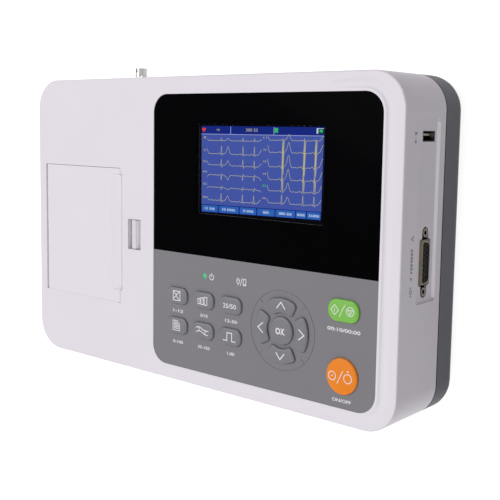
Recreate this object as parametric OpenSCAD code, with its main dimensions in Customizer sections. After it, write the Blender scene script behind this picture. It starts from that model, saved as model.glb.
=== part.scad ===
// Portable electrocardiograph: a flat desk machine with a colour display, a keypad and a thermal
// printer under a hinged paper door.
// Frame: X to the right, Y to the rear, Z up out of the control face. The origin is on the table,
// under the middle of the machine and its rear earth post.

/* [Case] */
// Width of the case
body_w = 315; // [306:1:324]
// Depth of the case, front to rear
body_d = 200; // [194:1:210]
// Height of the control face above the table
body_h = 70; // [68:0.5:76]
// Height of the lower half's rim
seam_z = 25.5; // [22:0.5:28]
// Open gap along the seam
seam_gap = 0.8; // [0.4:0.1:1.5]
// Wall thickness of both halves
wall = 2.8; // [2.4:0.1:3.2]
// Thickness of the control face
face_t = 3; // [2.6:0.1:3.2]
// Corner radius in plan
corner_r = 21; // [18:1:24]
// Rounding of the upper edge
edge_r = 1; // [0.8:0.1:2.2]
// Rounding of the lower edge
base_r = 8; // [5:0.5:10]
// Height of the rubber feet
foot_h = 3; // [2:0.5:4]
// Radius of the rubber feet
foot_r = 7; // [5:0.5:8]

/* [Front panel] */
// Width of the window and keypad panel
panel_w = 177; // [172:1:180]
// Depth of the window and keypad panel, front to rear
panel_d = 179; // [176:1:182]
// Distance from the panel to the right side of the case
panel_right = 13.6; // [12:0.2:15]
// Distance from the panel to the front of the case
panel_front = 9.7; // [9:0.1:11]
// Corner radius of the panel
panel_r = 12; // [10:0.5:13]
// Depth of the keypad part of the panel, front to rear
keypad_d = 76.2; // [75:0.1:80]
// Thickness of the keypad overlay
overlay_t = 0.6; // [0.4:0.1:0.8]
// Thickness of the display window
lens_t = 1.4; // [1:0.1:1.6]
// Depth of the scooped border beside the panel
cove_depth = 0.7; // [0.5:0.1:1]
// Width of the scooped border
cove_w = 7.2; // [6:0.1:7.4]
// Length over which the scoop fades out along the rear edge
cove_rear_fade = 26; // [20:1:60]
// Length over which the scoop fades out along the front edge
cove_front_fade = 110; // [60:1:140]

/* [Display] */
// Width of the lit area
display_w = 95.04; // [90:0.01:98]
// Height of the lit area
display_h = 53.86; // [50:0.01:56]
// Distance from the display's middle to the panel's rear edge
display_rear = 47.4; // [45:0.1:50]
// Thickness of the display module
display_t = 3.4; // [3:0.1:5]

/* [Keys] */
// Width of a function key
pad_w = 17.8; // [16:0.1:19]
// Depth of a function key
pad_d = 10.8; // [10.2:0.1:13]
// Corner radius of a function key
pad_r = 4.6; // [3:0.1:5]
// Distance between key columns
pad_pitch_x = 23.3; // [22:0.1:24]
// Distance between key rows
pad_pitch_y = 20; // [18:0.1:21]
// Height of a key above the panel
key_rise = 1.7; // [1:0.1:2.5]
// Travel of a key
key_travel = 0.8; // [0.4:0.1:1]
// Gap round a key
key_gap = 0.3; // [0.2:0.05:0.4]
// Radius of the round centre key
ok_r = 8.5; // [7:0.1:9]
// Inner radius of the four arrow keys
arrow_r0 = 10.9; // [10.8:0.1:11.5]
// Outer radius of the four arrow keys
arrow_r1 = 19.8; // [18:0.1:21]
// Radius of the circle engraved round the arrow keys
dial_r = 24.2; // [23:0.1:25]
// Radius of the power key
power_r = 10.6; // [9:0.1:11]
// Width of the start key
start_w = 21; // [19:0.1:22]
// Depth of the start key
start_d = 12.9; // [11:0.1:14]

/* [Printer] */
// Length of the paper door, front to rear
door_len = 93.8; // [92:0.2:96]
// Distance from the hinge axis to the door's free edge
door_reach = 79.8; // [79.2:0.1:80.4]
// Distance from the hinge axis to the left side of the case
hinge_inset = 10.9; // [10.5:0.1:12]
// Angle that the door opens to
door_open = 90; // [60:5:90]
// Width of the paper
paper_w = 80; // [78:0.5:81]
// Radius of a full paper roll
roll_r = 23; // [18:0.5:23.5]
// Radius of the platen roller
platen_r = 6.2; // [5.6:0.1:6.4]
// Thickness of the paper path between platen and print head
paper_path = 0.35; // [0.2:0.05:0.5]
// Gear module
gear_m = 0.6; // [0.5:0.05:0.62]
// Teeth on the platen gear
platen_teeth = 24; // [22:1:25]
// Teeth on the idler gear
idler_teeth = 30; // [26:1:32]
// Teeth on the motor pinion
pinion_teeth = 15; // [14:1:16]
// Travel of the door latch
latch_travel = 2.5; // [1.5:0.1:2.5]

/* [Connectors] */
// Distance from the control face down to the middle of the side connectors
conn_drop = 27.45; // [26:0.1:29]
// Position of the patient lead socket, from the middle of the case
lead_y = -5.2; // [-7:0.1:-3]
// Position of the data port, from the middle of the case
usb_y = 64.8; // [60:0.1:66]
// Distance between the lead socket's screws
jack_pitch = 33.32; // [33:0.01:34]
// Radius of the lead socket's threaded holes
jack_hole_r = 1.25; // [1:0.05:1.4]
// Depth of the recess round the side connectors
recess_depth = 1.4; // [0.8:0.1:1.6]
// Distance from the mains inlet's middle to the left side of the case
inlet_inset = 48.5; // [48:0.5:52]
// Distance from the mains inlet's middle to the earth post
earth_pitch = 35.5; // [32:0.5:38]
// Height of the inlet and earth post above the table
rear_z = 44; // [42:0.5:48]
// Radius of the earth post
earth_r = 4; // [3:0.1:4.5]
// Reach of the earth post behind the case
earth_reach = 8; // [7:0.5:10]

/* [Battery] */
// Width of the battery
battery_w = 76; // [70:1:80]
// Depth of the battery, front to rear
battery_d = 66; // [60:1:70]
// Height of the battery
battery_h = 18; // [14:1:19]

/* [Hidden] */
$fn = 72;

// Clearances
fit_gap = 0.3;      // between pieces that drop into each other
slide_gap = 0.2;    // between the latch and its guides
run_gap = 0.05;     // radial clearance of every turning pin
eps = 0.01;

// Levels and case outline
case_y = -earth_reach / 2;
face_z = body_h;
under_z = face_z - face_t;
base_z = foot_h;
floor_z = base_z + wall;
upper_z = seam_z + seam_gap;
right_x = body_w / 2;
rear_y = body_d / 2;
lip_t = 1.4;
lip_h = 3;
lip_in = wall + slide_gap;

// Screw bosses
boss_z = 15;
boss_r = 4;
screw_r = 1.5;
screw_head_r = 2.8;
screw_seat = base_z + 5;
screw_len = 15;
boss_inset = [15.5, 18];
boss_points = [
    for (sx = [-1, 1], sy = [-1, 1]) [sx * (right_x - boss_inset[0]), sy * (rear_y - boss_inset[1])],
    [-45, -rear_y + 10],
    [8, rear_y - 10]
];
foot_points = [for (sx = [-1, 1], sy = [-1, 1]) [sx * (right_x - 29.5), sy * (rear_y - 30)]];
foot_sink = 1;

// Panel
panel_x = right_x - panel_right - panel_w / 2;
panel_y = -rear_y + panel_front + panel_d / 2;
panel_low = panel_y - panel_d / 2;
panel_top = face_z - 0.2;
split_y = panel_low + keypad_d;
panel_fit = 0.1;
panel_rim = 1.6;
display_y = panel_y + panel_d / 2 - display_rear;
display_z = under_z - slide_gap;
view_margin = 1.4;
gasket_w = 3;
display_frame_w = 105.5;
display_frame_h = 67.2;

// Keys
flange_w = 0.9;
flange_t = 1.2;
key_edge = 0.7;
key_band = 2;
key_low = under_z - flange_t;
key_root = under_z - flange_t / 2;
key_top = panel_top + key_rise;
arrow_half = 27;
arrow_corner = 2.4;
pad_x = panel_x - 64.9;
pad_y = panel_low + 27.7;
dial_x = panel_x + 22.3;
dial_y = panel_low + 38.2;
command_x = panel_x + 66.4;
start_y = panel_low + 56.7;
power_y = panel_low + 18.9;
board_t = 1.6;
mat_t = 1.2;
dome_top = key_low - key_travel - 0.1;
key_board_z = under_z - 7.6;
mat_z = key_board_z + board_t;
key_board_x = panel_x - 3;
key_board_w = 164.8;
key_board_d = 69;
key_board_y = panel_low + 3.3 + key_board_d / 2;
key_post_x = 79;
key_post_y = 31.5;
led_r = 1.9;
led_x = panel_x - 41.4;
led_y = panel_low + 63.5;

// Each key: place, then its outline as [kind, width or turn, depth, corner radius]
KEY_MODE = [[pad_x, pad_y + pad_pitch_y], ["pad", pad_w, pad_d, pad_r]];
KEY_GAIN = [[pad_x + pad_pitch_x, pad_y + pad_pitch_y], ["pad", pad_w, pad_d, pad_r]];
KEY_SPEED = [[pad_x + 2 * pad_pitch_x, pad_y + pad_pitch_y], ["pad", pad_w, pad_d, pad_r]];
KEY_PRINT = [[pad_x, pad_y], ["pad", pad_w, pad_d, pad_r]];
KEY_FILTER = [[pad_x + pad_pitch_x, pad_y], ["pad", pad_w, pad_d, pad_r]];
KEY_CAL = [[pad_x + 2 * pad_pitch_x, pad_y], ["pad", pad_w, pad_d, pad_r]];
KEY_RIGHT = [[dial_x, dial_y], ["arrow", 0]];
KEY_UP = [[dial_x, dial_y], ["arrow", 90]];
KEY_LEFT = [[dial_x, dial_y], ["arrow", 180]];
KEY_DOWN = [[dial_x, dial_y], ["arrow", 270]];
KEY_OK = [[dial_x, dial_y], ["disc", ok_r]];
KEY_START = [[command_x, start_y], ["pad", start_w, start_d, 5.8]];
KEY_POWER = [[command_x, power_y], ["disc", power_r]];
KEYS = [
    KEY_MODE, KEY_GAIN, KEY_SPEED, KEY_PRINT, KEY_FILTER, KEY_CAL,
    KEY_RIGHT, KEY_UP, KEY_LEFT, KEY_DOWN, KEY_OK, KEY_START, KEY_POWER
];

// Paper door and its opening, from the hinge axis
hinge_r = 2.5;
hinge_pin_r = 1;
hinge_pin_len = 15;
hinge_x = -right_x + hinge_inset;
hinge_z = face_z - hinge_r;
door_y = -8.4;
door_edge_x = hinge_x + door_reach;
door_front = door_y - door_len / 2;
door_rear = door_y + door_len / 2;
opening_edge_x = door_edge_x + fit_gap;
trough_z = face_z - 1.7;
trough_door_w = 10.2;
trough_case_w = 3.6;
slot_y = -6.05;
slot_len = paper_w + 1.7;
slot_gap = 0.8;

// Platen, head and paper, placed so that the head lies along the platen's opening path
platen_x = hinge_x + 71.1;
platen_z = hinge_z - 10;
platen_len = paper_w;
platen_y0 = slot_y - platen_len / 2;
platen_y1 = slot_y + platen_len / 2;
platen_shaft_r = 2.5;
platen_end_r = 2;
head_lean = atan2(hinge_z - platen_z, platen_x - hinge_x);
head_gap = platen_r + paper_path;
arm_t = 2.5;
arm_front = platen_y0 - 1.1;
arm_rear = platen_y1 + 1.1;
gear_w = 3.8;
gear_y1 = arm_front - arm_t - 0.6;
gear_y0 = gear_y1 - gear_w;
gear_slack = 0.08;
platen_pitch_r = gear_m * platen_teeth / 2;
idler_pitch_r = gear_m * idler_teeth / 2;
pinion_pitch_r = gear_m * pinion_teeth / 2;
idler_gap = platen_pitch_r + idler_pitch_r + gear_slack;
pinion_gap = idler_pitch_r + pinion_pitch_r + gear_slack;
idler_turn = -90 - head_lean;
pinion_turn = -42;
idler_at = [platen_x + idler_gap * cos(idler_turn), platen_z + idler_gap * sin(idler_turn)];
pinion_at = [idler_at[0] + pinion_gap * cos(pinion_turn), idler_at[1] + pinion_gap * sin(pinion_turn)];
idler_stud_r = 1.5;
motor_r = 12;
motor_len = 17;
motor_shaft_r = 1;
motor_clear = 4.5;
plate_y1 = arm_front - 0.5;
plate_y0 = plate_y1 - 2;
back_plate_y0 = arm_rear + arm_t + 0.4;
back_plate_y1 = back_plate_y0 + 2;
chassis_x0 = platen_x - 9;
chassis_x1 = platen_x + 24;
chassis_t = 2;
chassis_z = pinion_at[1] - motor_r - motor_clear - chassis_t;
sink_t = 3;
head_t = 1;
spring_len = 8;
spring_r = 2.2;
wire_r = 0.4;
spring_turns = 5;

// Paper well
roll_x = hinge_x + 32.6;
roll_z = hinge_z - 26.5;
well_r = roll_r + 2.4;
well_t = 2;
well_y0 = slot_y - paper_w / 2 - 1;
well_y1 = slot_y + paper_w / 2 + 1;
well_rim_z = hinge_z - 6.5;
well_right_z = roll_z + 11;
spindle_r = 6.28;
spindle_end_r = 3;
core_t = 1.2;
core_r = spindle_r + 0.07;

// Latch
latch_x0 = door_edge_x + 8.3;
latch_w = 12.6;
latch_y0 = -16.5;
latch_y1 = 4.4;
latch_z1 = under_z - slide_gap;
latch_t = 2.3;
latch_z0 = latch_z1 - latch_t;
latch_body_x0 = latch_x0 - 2.6;
latch_body_x1 = latch_x0 + latch_w + 4;
latch_bar_w = 5.5;
rail_x = latch_body_x0 + latch_bar_w + latch_travel + fit_gap;
rail_t = 1.6;
rail_lip = 1.4;
latch_body_y0 = latch_y0 - 3.5;
latch_body_y1 = latch_y1 + 3.5;
latch_tip_x = door_edge_x - 2.2;
nose_z = platen_z + 5.1;
latch_mid_y = (latch_y0 + latch_y1) / 2;
latch_spring_len = 10;
latch_spring_z = latch_z0 - 0.4;

// Side connectors
conn_z = face_z - conn_drop;
board_z = conn_z - 6.57 - board_t;
recess_x = right_x - recess_depth;
recess_y0 = lead_y - 22.8;
recess_y1 = usb_y + 9.9;
recess_h = 21;
lead_flange_x = recess_x - 5;
lead_rim_x = lead_flange_x + 5.9;
insert_depth = 11;
shield_gap = 8;
lead_shell_w = 24.7;
lead_shell_h = 8.2;
jack_x = lead_flange_x + 5;
jack_af = 4.8;
usb_w = 5.72;
usb_h = 13.14;
usb_t = 0.4;

// Boards
board_x0 = platen_x + 31.5;
board_x1 = right_x - 7.5;
board_y0 = -40;
board_y1 = rear_y - 18;
board_step_y = rear_y - 26;
board_step_x = right_x - 27.5;
board_posts = [
    [board_x0 + 6, board_y0 + 6], [board_x0 + 6, board_y1 - 6],
    [board_step_x - 12, board_y1 - 6], [board_x1 - 42, board_y0 + 6]
];
power_z = floor_z + 8.2;
power_x0 = hinge_x + 14;
power_x1 = power_x0 + 80;
power_y0 = door_rear + 7;
power_y1 = rear_y - 8;

// Battery bay
bay_gap = 1;
bay_x = panel_x + 2.6;
bay_y = -23;
cover_t = 2;
cover_w = battery_w + 8;
cover_d = battery_d + 8;
bay_top = base_z + cover_t + battery_h + bay_gap;

// Mains inlet
inlet_flange = [50, 22.5, 2.6];
inlet_body = [27, 20];
inlet_cavity = [22.6, 16.2];
inlet_depth = 15;
inlet_pitch = 40;
INLET_BLADES = [[-7, -2], [7, -2], [0, 2]];
inlet_x = -right_x + inlet_inset;
earth_x = inlet_x + earth_pitch;
inlet_sink = 0.2;
inlet_pad = 6;
inlet_screw_r = 1.4;
inlet_face = rear_y - inlet_sink;
inlet_floor = inlet_face - inlet_depth;
blade_y0 = inlet_floor - 4;
blade_tip = inlet_face - 4.1;

// ---------------------------------------------------------------- shared shapes

// Puts a piece that is drawn round the middle of the case into the machine's frame
module placed() {
    translate([0, case_y, 0]) children();
}

// Rectangle with round corners
module round_rect(w, d, r) {
    square([w - 2 * r, d], center = true);
    square([w, d - 2 * r], center = true);
    for (sx = [-1, 1], sy = [-1, 1])
        translate([sx * (w / 2 - r), sy * (d / 2 - r)]) circle(r);
}

// Carries a flat profile round a rounded rectangle; the profile's X = 0 is the outline
module carry_round(w, d, r) {
    for (turn = [0, 180]) rotate(turn) {
        translate([w / 2, d / 2 - r, 0]) rotate([90, 0, 0]) linear_extrude(d - 2 * r) children();
        translate([-(w / 2 - r), d / 2, 0]) rotate([90, 0, 90]) linear_extrude(w - 2 * r) children();
        translate([w / 2 - r, d / 2 - r, 0]) rotate_extrude(angle = 90) translate([r, 0]) children();
        translate([-(w / 2 - r), d / 2 - r, 0]) rotate(90)
            rotate_extrude(angle = 90) translate([r, 0]) children();
    }
}

// Cross-section of a wall whose outer upper edge is rounded
module wall_section(t, low, high, r) {
    translate([-t, low]) square([t, high - r - low]);
    translate([-t, high - r]) square([t - r, r]);
    translate([-r, high - r]) circle(r);
}

// Cylinder along +Y
module rod_y(r, y0, y1) {
    translate([0, y1, 0]) rotate([90, 0, 0]) cylinder(r = r, h = y1 - y0);
}

// Cylinder along +X
module rod_x(r, x0, x1) {
    translate([x0, 0, 0]) rotate([0, 90, 0]) cylinder(r = r, h = x1 - x0);
}

// Flat outline in X and Z, carried from y0 to y1
module plate_y(y0, y1) {
    translate([0, y1, 0]) rotate([90, 0, 0]) linear_extrude(y1 - y0) children();
}

// Box from its two corners
module block(a, b) {
    translate(a) cube([b[0] - a[0], b[1] - a[1], b[2] - a[2]]);
}

// Points of a coil spring's wire, ring by ring
function coil_rings(r, wire, length, turns, sides, steps) = [
    for (i = [0 : turns * steps])
        let (a = 360 * i / steps, z = wire + (length - 2 * wire) * i / (turns * steps))
            for (j = [0 : sides - 1])
                let (b = 360 * j / sides)
                    [(r + wire * cos(b)) * cos(a), (r + wire * cos(b)) * sin(a), z + wire * sin(b)]
];

// Coil spring standing on Z = 0
module coil_spring(r, wire, length, turns) {
    sides = 6;
    steps = 14;
    last = turns * steps;
    polyhedron(
        points = coil_rings(r, wire, length, turns, sides, steps),
        faces = concat(
            [[for (j = [0 : sides - 1]) j]],
            [for (i = [0 : last - 1], j = [0 : sides - 1])
                [i * sides + j, (i + 1) * sides + j,
                 (i + 1) * sides + (j + 1) % sides, i * sides + (j + 1) % sides]],
            [[for (j = [sides - 1 : -1 : 0]) last * sides + j]]
        )
    );
}

// Half-angle of an involute tooth at radius r, for base radius rb
function involute(rb, r) = tan(acos(min(1, rb / r))) * 180 / PI - acos(min(1, rb / r));

// Outline of a spur gear with 20 degree involute teeth and a little backlash
module gear_outline(teeth, m) {
    rp = m * teeth / 2;
    rb = rp * cos(20);
    ra = rp + 0.9 * m;
    rf = rp - 1.2 * m;
    half = 90 / teeth - 0.06 / rp * 180 / PI;
    r0 = max(rb, rf);
    radii = [for (i = [0 : 4]) r0 + (ra - r0) * i / 4];
    flank = [for (r = radii) [r, half + involute(rb, rp) - involute(rb, r)]];
    root = half + involute(rb, rp) - involute(rb, r0) + 0.4;
    polygon([
        for (k = [0 : teeth - 1])
            let (a = 360 * k / teeth)
                for (p = concat(
                    [[rf, -root]],
                    [for (q = flank) [q[0], -q[1]]],
                    [for (i = [4 : -1 : 0]) flank[i]],
                    [[rf, root]]))
                    [p[0] * cos(a + p[1]), p[0] * sin(a + p[1])]
    ]);
}

// ---------------------------------------------------------------- case

module upper_case() color("#e6e3e8") placed() difference() {
    union() {
        carry_round(body_w, body_d, corner_r) wall_section(wall, upper_z, face_z, edge_r);
        translate([0, 0, under_z])
            linear_extrude(face_t) round_rect(body_w - 2 * wall, body_d - 2 * wall, corner_r - wall);
        for (p = boss_points) translate([p[0], p[1], boss_z]) cylinder(r = boss_r, h = under_z - boss_z);
        for (y = [door_front - fit_gap - 7, door_rear + fit_gap])
            block([hinge_x - 4.5, y, hinge_z - 4], [hinge_x + 4.5, y + 7, under_z]);
        block([opening_edge_x - slot_gap + 0.4, slot_y - slot_len / 2 + 1, trough_z - 2.4],
              [opening_edge_x + 2.6, slot_y + slot_len / 2 - 1, under_z]);
        latch_guides();
        display_clips();
        translate([inlet_x, 0, rear_z]) plate_y(rear_y - inlet_pad, rear_y - 1)
            square([inlet_flange[0] + 4, inlet_flange[1] + 4], center = true);
        for (sx = [-1, 1], sy = [-1, 1])
            translate([key_board_x + sx * key_post_x, key_board_y + sy * key_post_y, mat_z])
                cylinder(r = 2.8, h = under_z - mat_z);
    }
    panel_pocket();
    cove();
    translate([panel_x, display_y, 0]) linear_extrude(2 * face_z)
        round_rect(display_w + 2 * (view_margin + gasket_w), display_h + 2 * (view_margin + gasket_w), 2);
    for (k = KEYS)
        translate([k[0][0], k[0][1], under_z - eps]) linear_extrude(2 * face_t) key_outline(k[1], key_gap);
    translate([led_x, led_y, under_z - eps]) cylinder(r = led_r, h = 2 * face_t);
    door_opening();
    trough();
    block([latch_x0, latch_y0, under_z - eps], [latch_x0 + latch_w, latch_y1, face_z + 1]);
    side_recess();
    rear_cutouts();
    for (y = [door_front - fit_gap - 6.5, door_rear + fit_gap - eps])
        translate([hinge_x, 0, hinge_z]) rod_y(hinge_pin_r + run_gap, y, y + 6.5 + eps);
    for (p = boss_points)
        translate([p[0], p[1], boss_z - eps]) cylinder(r = screw_r + run_gap, h = 12);
    for (sx = [-1, 1], sy = [-1, 1])
        translate([key_board_x + sx * key_post_x, key_board_y + sy * key_post_y, mat_z - eps])
            cylinder(r = 1.05, h = 4);
}

// Pocket that the window and the overlay are bonded into
module panel_pocket() {
    translate([panel_x, panel_y, panel_top - overlay_t])
        linear_extrude(4) round_rect(panel_w + 2 * panel_fit, panel_d + 2 * panel_fit, panel_r + panel_fit);
    intersection() {
        translate([panel_x, panel_y, panel_top - lens_t])
            linear_extrude(4)
                round_rect(panel_w + 2 * panel_fit, panel_d + 2 * panel_fit, panel_r + panel_fit);
        block([0 - body_w, split_y, 0], [body_w, body_d, 2 * face_z]);
    }
}

// Scooped border beside the panel: full depth along the right, fading out along the rear and the front
module cove() {
    right = panel_x + panel_w / 2;
    translate([right, panel_y + panel_d / 2 - panel_r, face_z])
        rotate([90, 0, 0]) linear_extrude(panel_d - 2 * panel_r) cove_section();
    for (side = [0, 1]) mirror([0, side, 0]) {
        edge_y = (side == 0 ? panel_y : -panel_y) + panel_d / 2;
        fade = side == 0 ? cove_rear_fade : cove_front_fade;
        translate([right - panel_r, edge_y - panel_r, face_z])
            rotate_extrude(angle = 90) translate([panel_r, 0]) cove_section();
        fade_r = fade * fade / (2 * cove_depth);
        translate([right - panel_r, edge_y, face_z + fade_r]) rotate([0, 90, 90])
            rotate_extrude(angle = 1.2 * atan2(fade, fade_r))
                translate([fade_r, 0]) rotate(90) cove_section();
    }
}

// Cross-section of the scoop: an arc falls from the rim, and two arcs of one radius rise to the face again
module cove_section() {
    valley = panel_rim + 2.2;
    half = (panel_rim + cove_w - valley) / 2;
    fall_r = (2.2 * 2.2 + cove_depth * cove_depth) / (2 * cove_depth);
    rise_r = (half * half + cove_depth * cove_depth / 4) / cove_depth;
    intersection() {
        translate([valley, fall_r - cove_depth]) circle(fall_r);
        translate([panel_rim - 1, -cove_depth - 1]) square([valley - panel_rim + 1, cove_depth + 1.5]);
    }
    intersection() {
        translate([valley, rise_r - cove_depth]) circle(rise_r);
        translate([valley, -cove_depth - 1]) square([half, cove_depth + 1.5]);
    }
    difference() {
        translate([valley + half, -cove_depth / 2 - 0.2]) square([half, cove_depth / 2 + 0.7]);
        translate([valley + 2 * half, 0.03 - rise_r]) circle(rise_r);
    }
}

// Opening that the paper door closes
module door_opening() {
    block([hinge_x - hinge_r - fit_gap, door_front - fit_gap, under_z - 4],
          [opening_edge_x, door_rear + fit_gap, face_z + 1]);
    block([opening_edge_x - 1, slot_y - slot_len / 2, under_z - 4],
          [opening_edge_x + 0.4, slot_y + slot_len / 2, face_z + 1]);
}

// Shallow V along the door's free edge, where the paper comes out
module trough() {
    x = opening_edge_x + 0.2;
    intersection() {
        plate_y(slot_y - slot_len, slot_y + slot_len) polygon([
            [x - trough_door_w, face_z], [x, trough_z], [x + trough_case_w, face_z],
            [x + trough_case_w, face_z + 1], [x - trough_door_w, face_z + 1]]);
        translate([x - 2 * trough_door_w, 0, 0]) rotate([90, 0, 90]) linear_extrude(4 * trough_door_w)
            polygon([
                [slot_y - slot_len / 2, face_z + 1], [slot_y - slot_len / 2, face_z],
                [slot_y - slot_len / 2 + face_z - trough_z, trough_z],
                [slot_y + slot_len / 2 - face_z + trough_z, trough_z],
                [slot_y + slot_len / 2, face_z], [slot_y + slot_len / 2, face_z + 1]]);
    }
}

// Rails that carry the latch under the face, and the rib that its spring pushes on
module latch_guides() {
    low = latch_z0 - slide_gap;
    for (side = [0, 1]) translate([0, latch_mid_y, 0]) mirror([0, side, 0]) {
        y = (latch_body_y1 - latch_body_y0) / 2 + slide_gap;
        block([rail_x, y, low - 1], [latch_body_x1, y + rail_t, under_z]);
        block([rail_x, y - rail_lip, low - 1], [latch_body_x1, y + rail_t, low]);
    }
    block([latch_body_x1 + latch_spring_len, latch_mid_y - 4, latch_spring_z - 3.5],
          [latch_body_x1 + latch_spring_len + 1.6, latch_mid_y + 4, under_z]);
}

// Four posts with lips that hold the display module up against its gasket
module display_clips() {
    low = display_z - display_t;
    for (sx = [-1, 1], sy = [-1, 1])
        translate([panel_x, display_y, 0]) scale([sx, sy, 1]) {
            block([display_frame_w / 2 + 0.2, display_frame_h / 2 - 14, low - 1.6],
                  [display_frame_w / 2 + 2.2, display_frame_h / 2 - 4, under_z]);
            block([display_frame_w / 2 - 1.6, display_frame_h / 2 - 14, low - 1.6],
                  [display_frame_w / 2 + 2.2, display_frame_h / 2 - 4, low]);
        }
}

// Recess in the right side with the cut-outs for the lead socket and the data port
module side_recess() {
    translate([recess_x, (recess_y0 + recess_y1) / 2, conn_z]) rotate([90, 0, 90])
        linear_extrude(5) round_rect(recess_y1 - recess_y0, recess_h, 2);
    translate([recess_x - 4, lead_y, conn_z]) rotate([90, 0, 90]) linear_extrude(9) {
        round_rect(26.6, 12.1, 2);
        square([jack_pitch, 6.8], center = true);
        for (s = [-1, 1]) translate([s * jack_pitch / 2, 0]) circle(3.4);
    }
    translate([recess_x - 4, usb_y, conn_z]) rotate([90, 0, 90])
        linear_extrude(9) round_rect(usb_w + 0.3, usb_h + 0.3, 0.5);
}

// Cut-outs for the mains inlet, sunk flush into a pad of the rear wall, and for the earth post
module rear_cutouts() {
    deep = rear_y - inlet_pad - 1;
    translate([inlet_x, 0, rear_z]) {
        plate_y(inlet_face - inlet_flange[2], rear_y + 1)
            round_rect(inlet_flange[0] + 2 * fit_gap, inlet_flange[1] + 2 * fit_gap, 5 + fit_gap);
        plate_y(deep, rear_y)
            square([inlet_body[0] + 2 * fit_gap, inlet_body[1] + 2 * fit_gap], center = true);
        for (s = [-1, 1]) translate([s * inlet_pitch / 2, 0, 0]) rod_y(inlet_screw_r + run_gap, deep, rear_y);
    }
    translate([earth_x, 0, rear_z]) rod_y(2.1, rear_y - 5, rear_y + 5);
}

module lower_case() color("#55555d") placed() difference() {
    union() {
        carry_round(body_w, body_d, corner_r) lower_section();
        translate([0, 0, base_z]) linear_extrude(wall)
            round_rect(body_w - 2 * base_r, body_d - 2 * base_r, corner_r - base_r);
        for (p = boss_points)
            translate([p[0], p[1], floor_z - eps]) cylinder(r = boss_r + 1, h = boss_z - floor_z + eps);
        for (p = board_posts)
            translate([p[0], p[1], floor_z - eps]) cylinder(r = 3.4, h = board_z - floor_z + eps);
        for (x = [power_x0 + 5, power_x1 - 5], y = [power_y0 + 5, power_y1 - 5])
            translate([x, y, floor_z - eps]) cylinder(r = 3.2, h = power_z - floor_z + eps);
        battery_bay_walls();
        floor_ribs();
    }
    for (p = foot_points)
        translate([p[0], p[1], base_z - eps]) cylinder(r = foot_r + 0.1, h = foot_sink + eps);
    for (p = boss_points) translate([p[0], p[1], 0]) {
        cylinder(r = screw_head_r + 0.4, h = screw_seat);
        cylinder(r = screw_r + 0.2, h = boss_z + 1);
    }
    for (p = board_posts) translate([p[0], p[1], board_z - 8]) cylinder(r = 1.05, h = 9);
    translate([bay_x, bay_y, 0]) linear_extrude(base_z + cover_t)
        round_rect(cover_w + 0.4, cover_d + 0.4, 3);
    translate([bay_x, bay_y, 0]) linear_extrude(bay_top)
        round_rect(battery_w + 2 * bay_gap, battery_d + 2 * bay_gap, 2);
    for (s = [-1, 1]) translate([bay_x + s * (cover_w / 2 - 2), bay_y, 0]) cylinder(r = 1.05, h = 12);
}

// Cross-section of the lower half: vertical rim, large lower rounding, inner lip that locates the upper half
module lower_section() {
    difference() {
        union() {
            translate([-base_r, base_z]) square([base_r, seam_z - base_z]);
            translate([-lip_in - lip_t, seam_z - 4]) square([lip_t, 4 + seam_gap + lip_h]);
        }
        difference() {
            translate([-base_r, base_z - 1]) square([base_r + 1, base_r + 1]);
            translate([-base_r, base_z + base_r]) circle(base_r);
        }
        intersection() {
            translate([-base_r - 1, floor_z]) square([base_r + 1 - wall, seam_z - 4 - floor_z]);
            union() {
                translate([-base_r, base_z + base_r]) circle(base_r - wall);
                translate([-base_r - 1, base_z + base_r]) square([base_r + 1 - wall, seam_z]);
            }
        }
        translate([-base_r - 1, floor_z + base_r]) square([base_r + 1 - lip_in - lip_t, seam_z]);
    }
}

// Walls and roof of the battery bay
module battery_bay_walls() {
    translate([bay_x, bay_y, base_z + eps]) linear_extrude(bay_top + 2 - base_z)
        round_rect(cover_w + 6, battery_d + 2 * bay_gap + 8, 3);
}

// Stiffening ribs of the floor
module floor_ribs() {
    for (x = [bay_x - cover_w / 2 - 16, bay_x + cover_w / 2 + 9])
        block([x, -rear_y + 12, floor_z - eps], [x + 1.6, rear_y - 32, floor_z + 5]);
    for (y = [bay_y - cover_d / 2 - 10, bay_y + cover_d / 2 + 22])
        block([bay_x - cover_w / 2 - 24, y, floor_z - eps], [right_x - 12, y + 1.6, floor_z + 5]);
}

module feet() color("#2b2b2e") placed()
    for (p = foot_points) translate([p[0], p[1], 0]) {
        cylinder(r1 = foot_r - 0.8, r2 = foot_r, h = 0.8);
        translate([0, 0, 0.8]) cylinder(r = foot_r, h = base_z + foot_sink - 0.8);
    }

module case_screws() color("#b9bcc0") placed() {
    for (p = boss_points) translate([p[0], p[1], screw_seat]) {
        cylinder(r = screw_r, h = screw_len);
        difference() {
            translate([0, 0, -2.4]) cylinder(r = screw_head_r, h = 2.4);
            for (a = [0, 90]) rotate(a) translate([0, 0, -2.4]) cube([3.2, 0.8, 2.4], center = true);
        }
    }
    for (s = [-1, 1]) translate([inlet_x + s * inlet_pitch / 2, inlet_face - 0.2, rear_z]) difference() {
        union() {
            rotate([90, 0, 0]) cylinder(r1 = screw_head_r, r2 = inlet_screw_r, h = 1.4);
            rod_y(inlet_screw_r, -6, -1.3);
        }
        for (a = [0, 90]) rotate([0, a, 0]) cube([3.2, 1.6, 0.8], center = true);
    }
}

// ---------------------------------------------------------------- panel and display

module display_window() color("#0a0a0c") placed() intersection() {
    translate([panel_x, panel_y, panel_top - lens_t])
        linear_extrude(lens_t) round_rect(panel_w, panel_d, panel_r);
    block([panel_x - panel_w, split_y + 0.05, 0], [panel_x + panel_w, body_d, 2 * face_z]);
}

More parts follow.
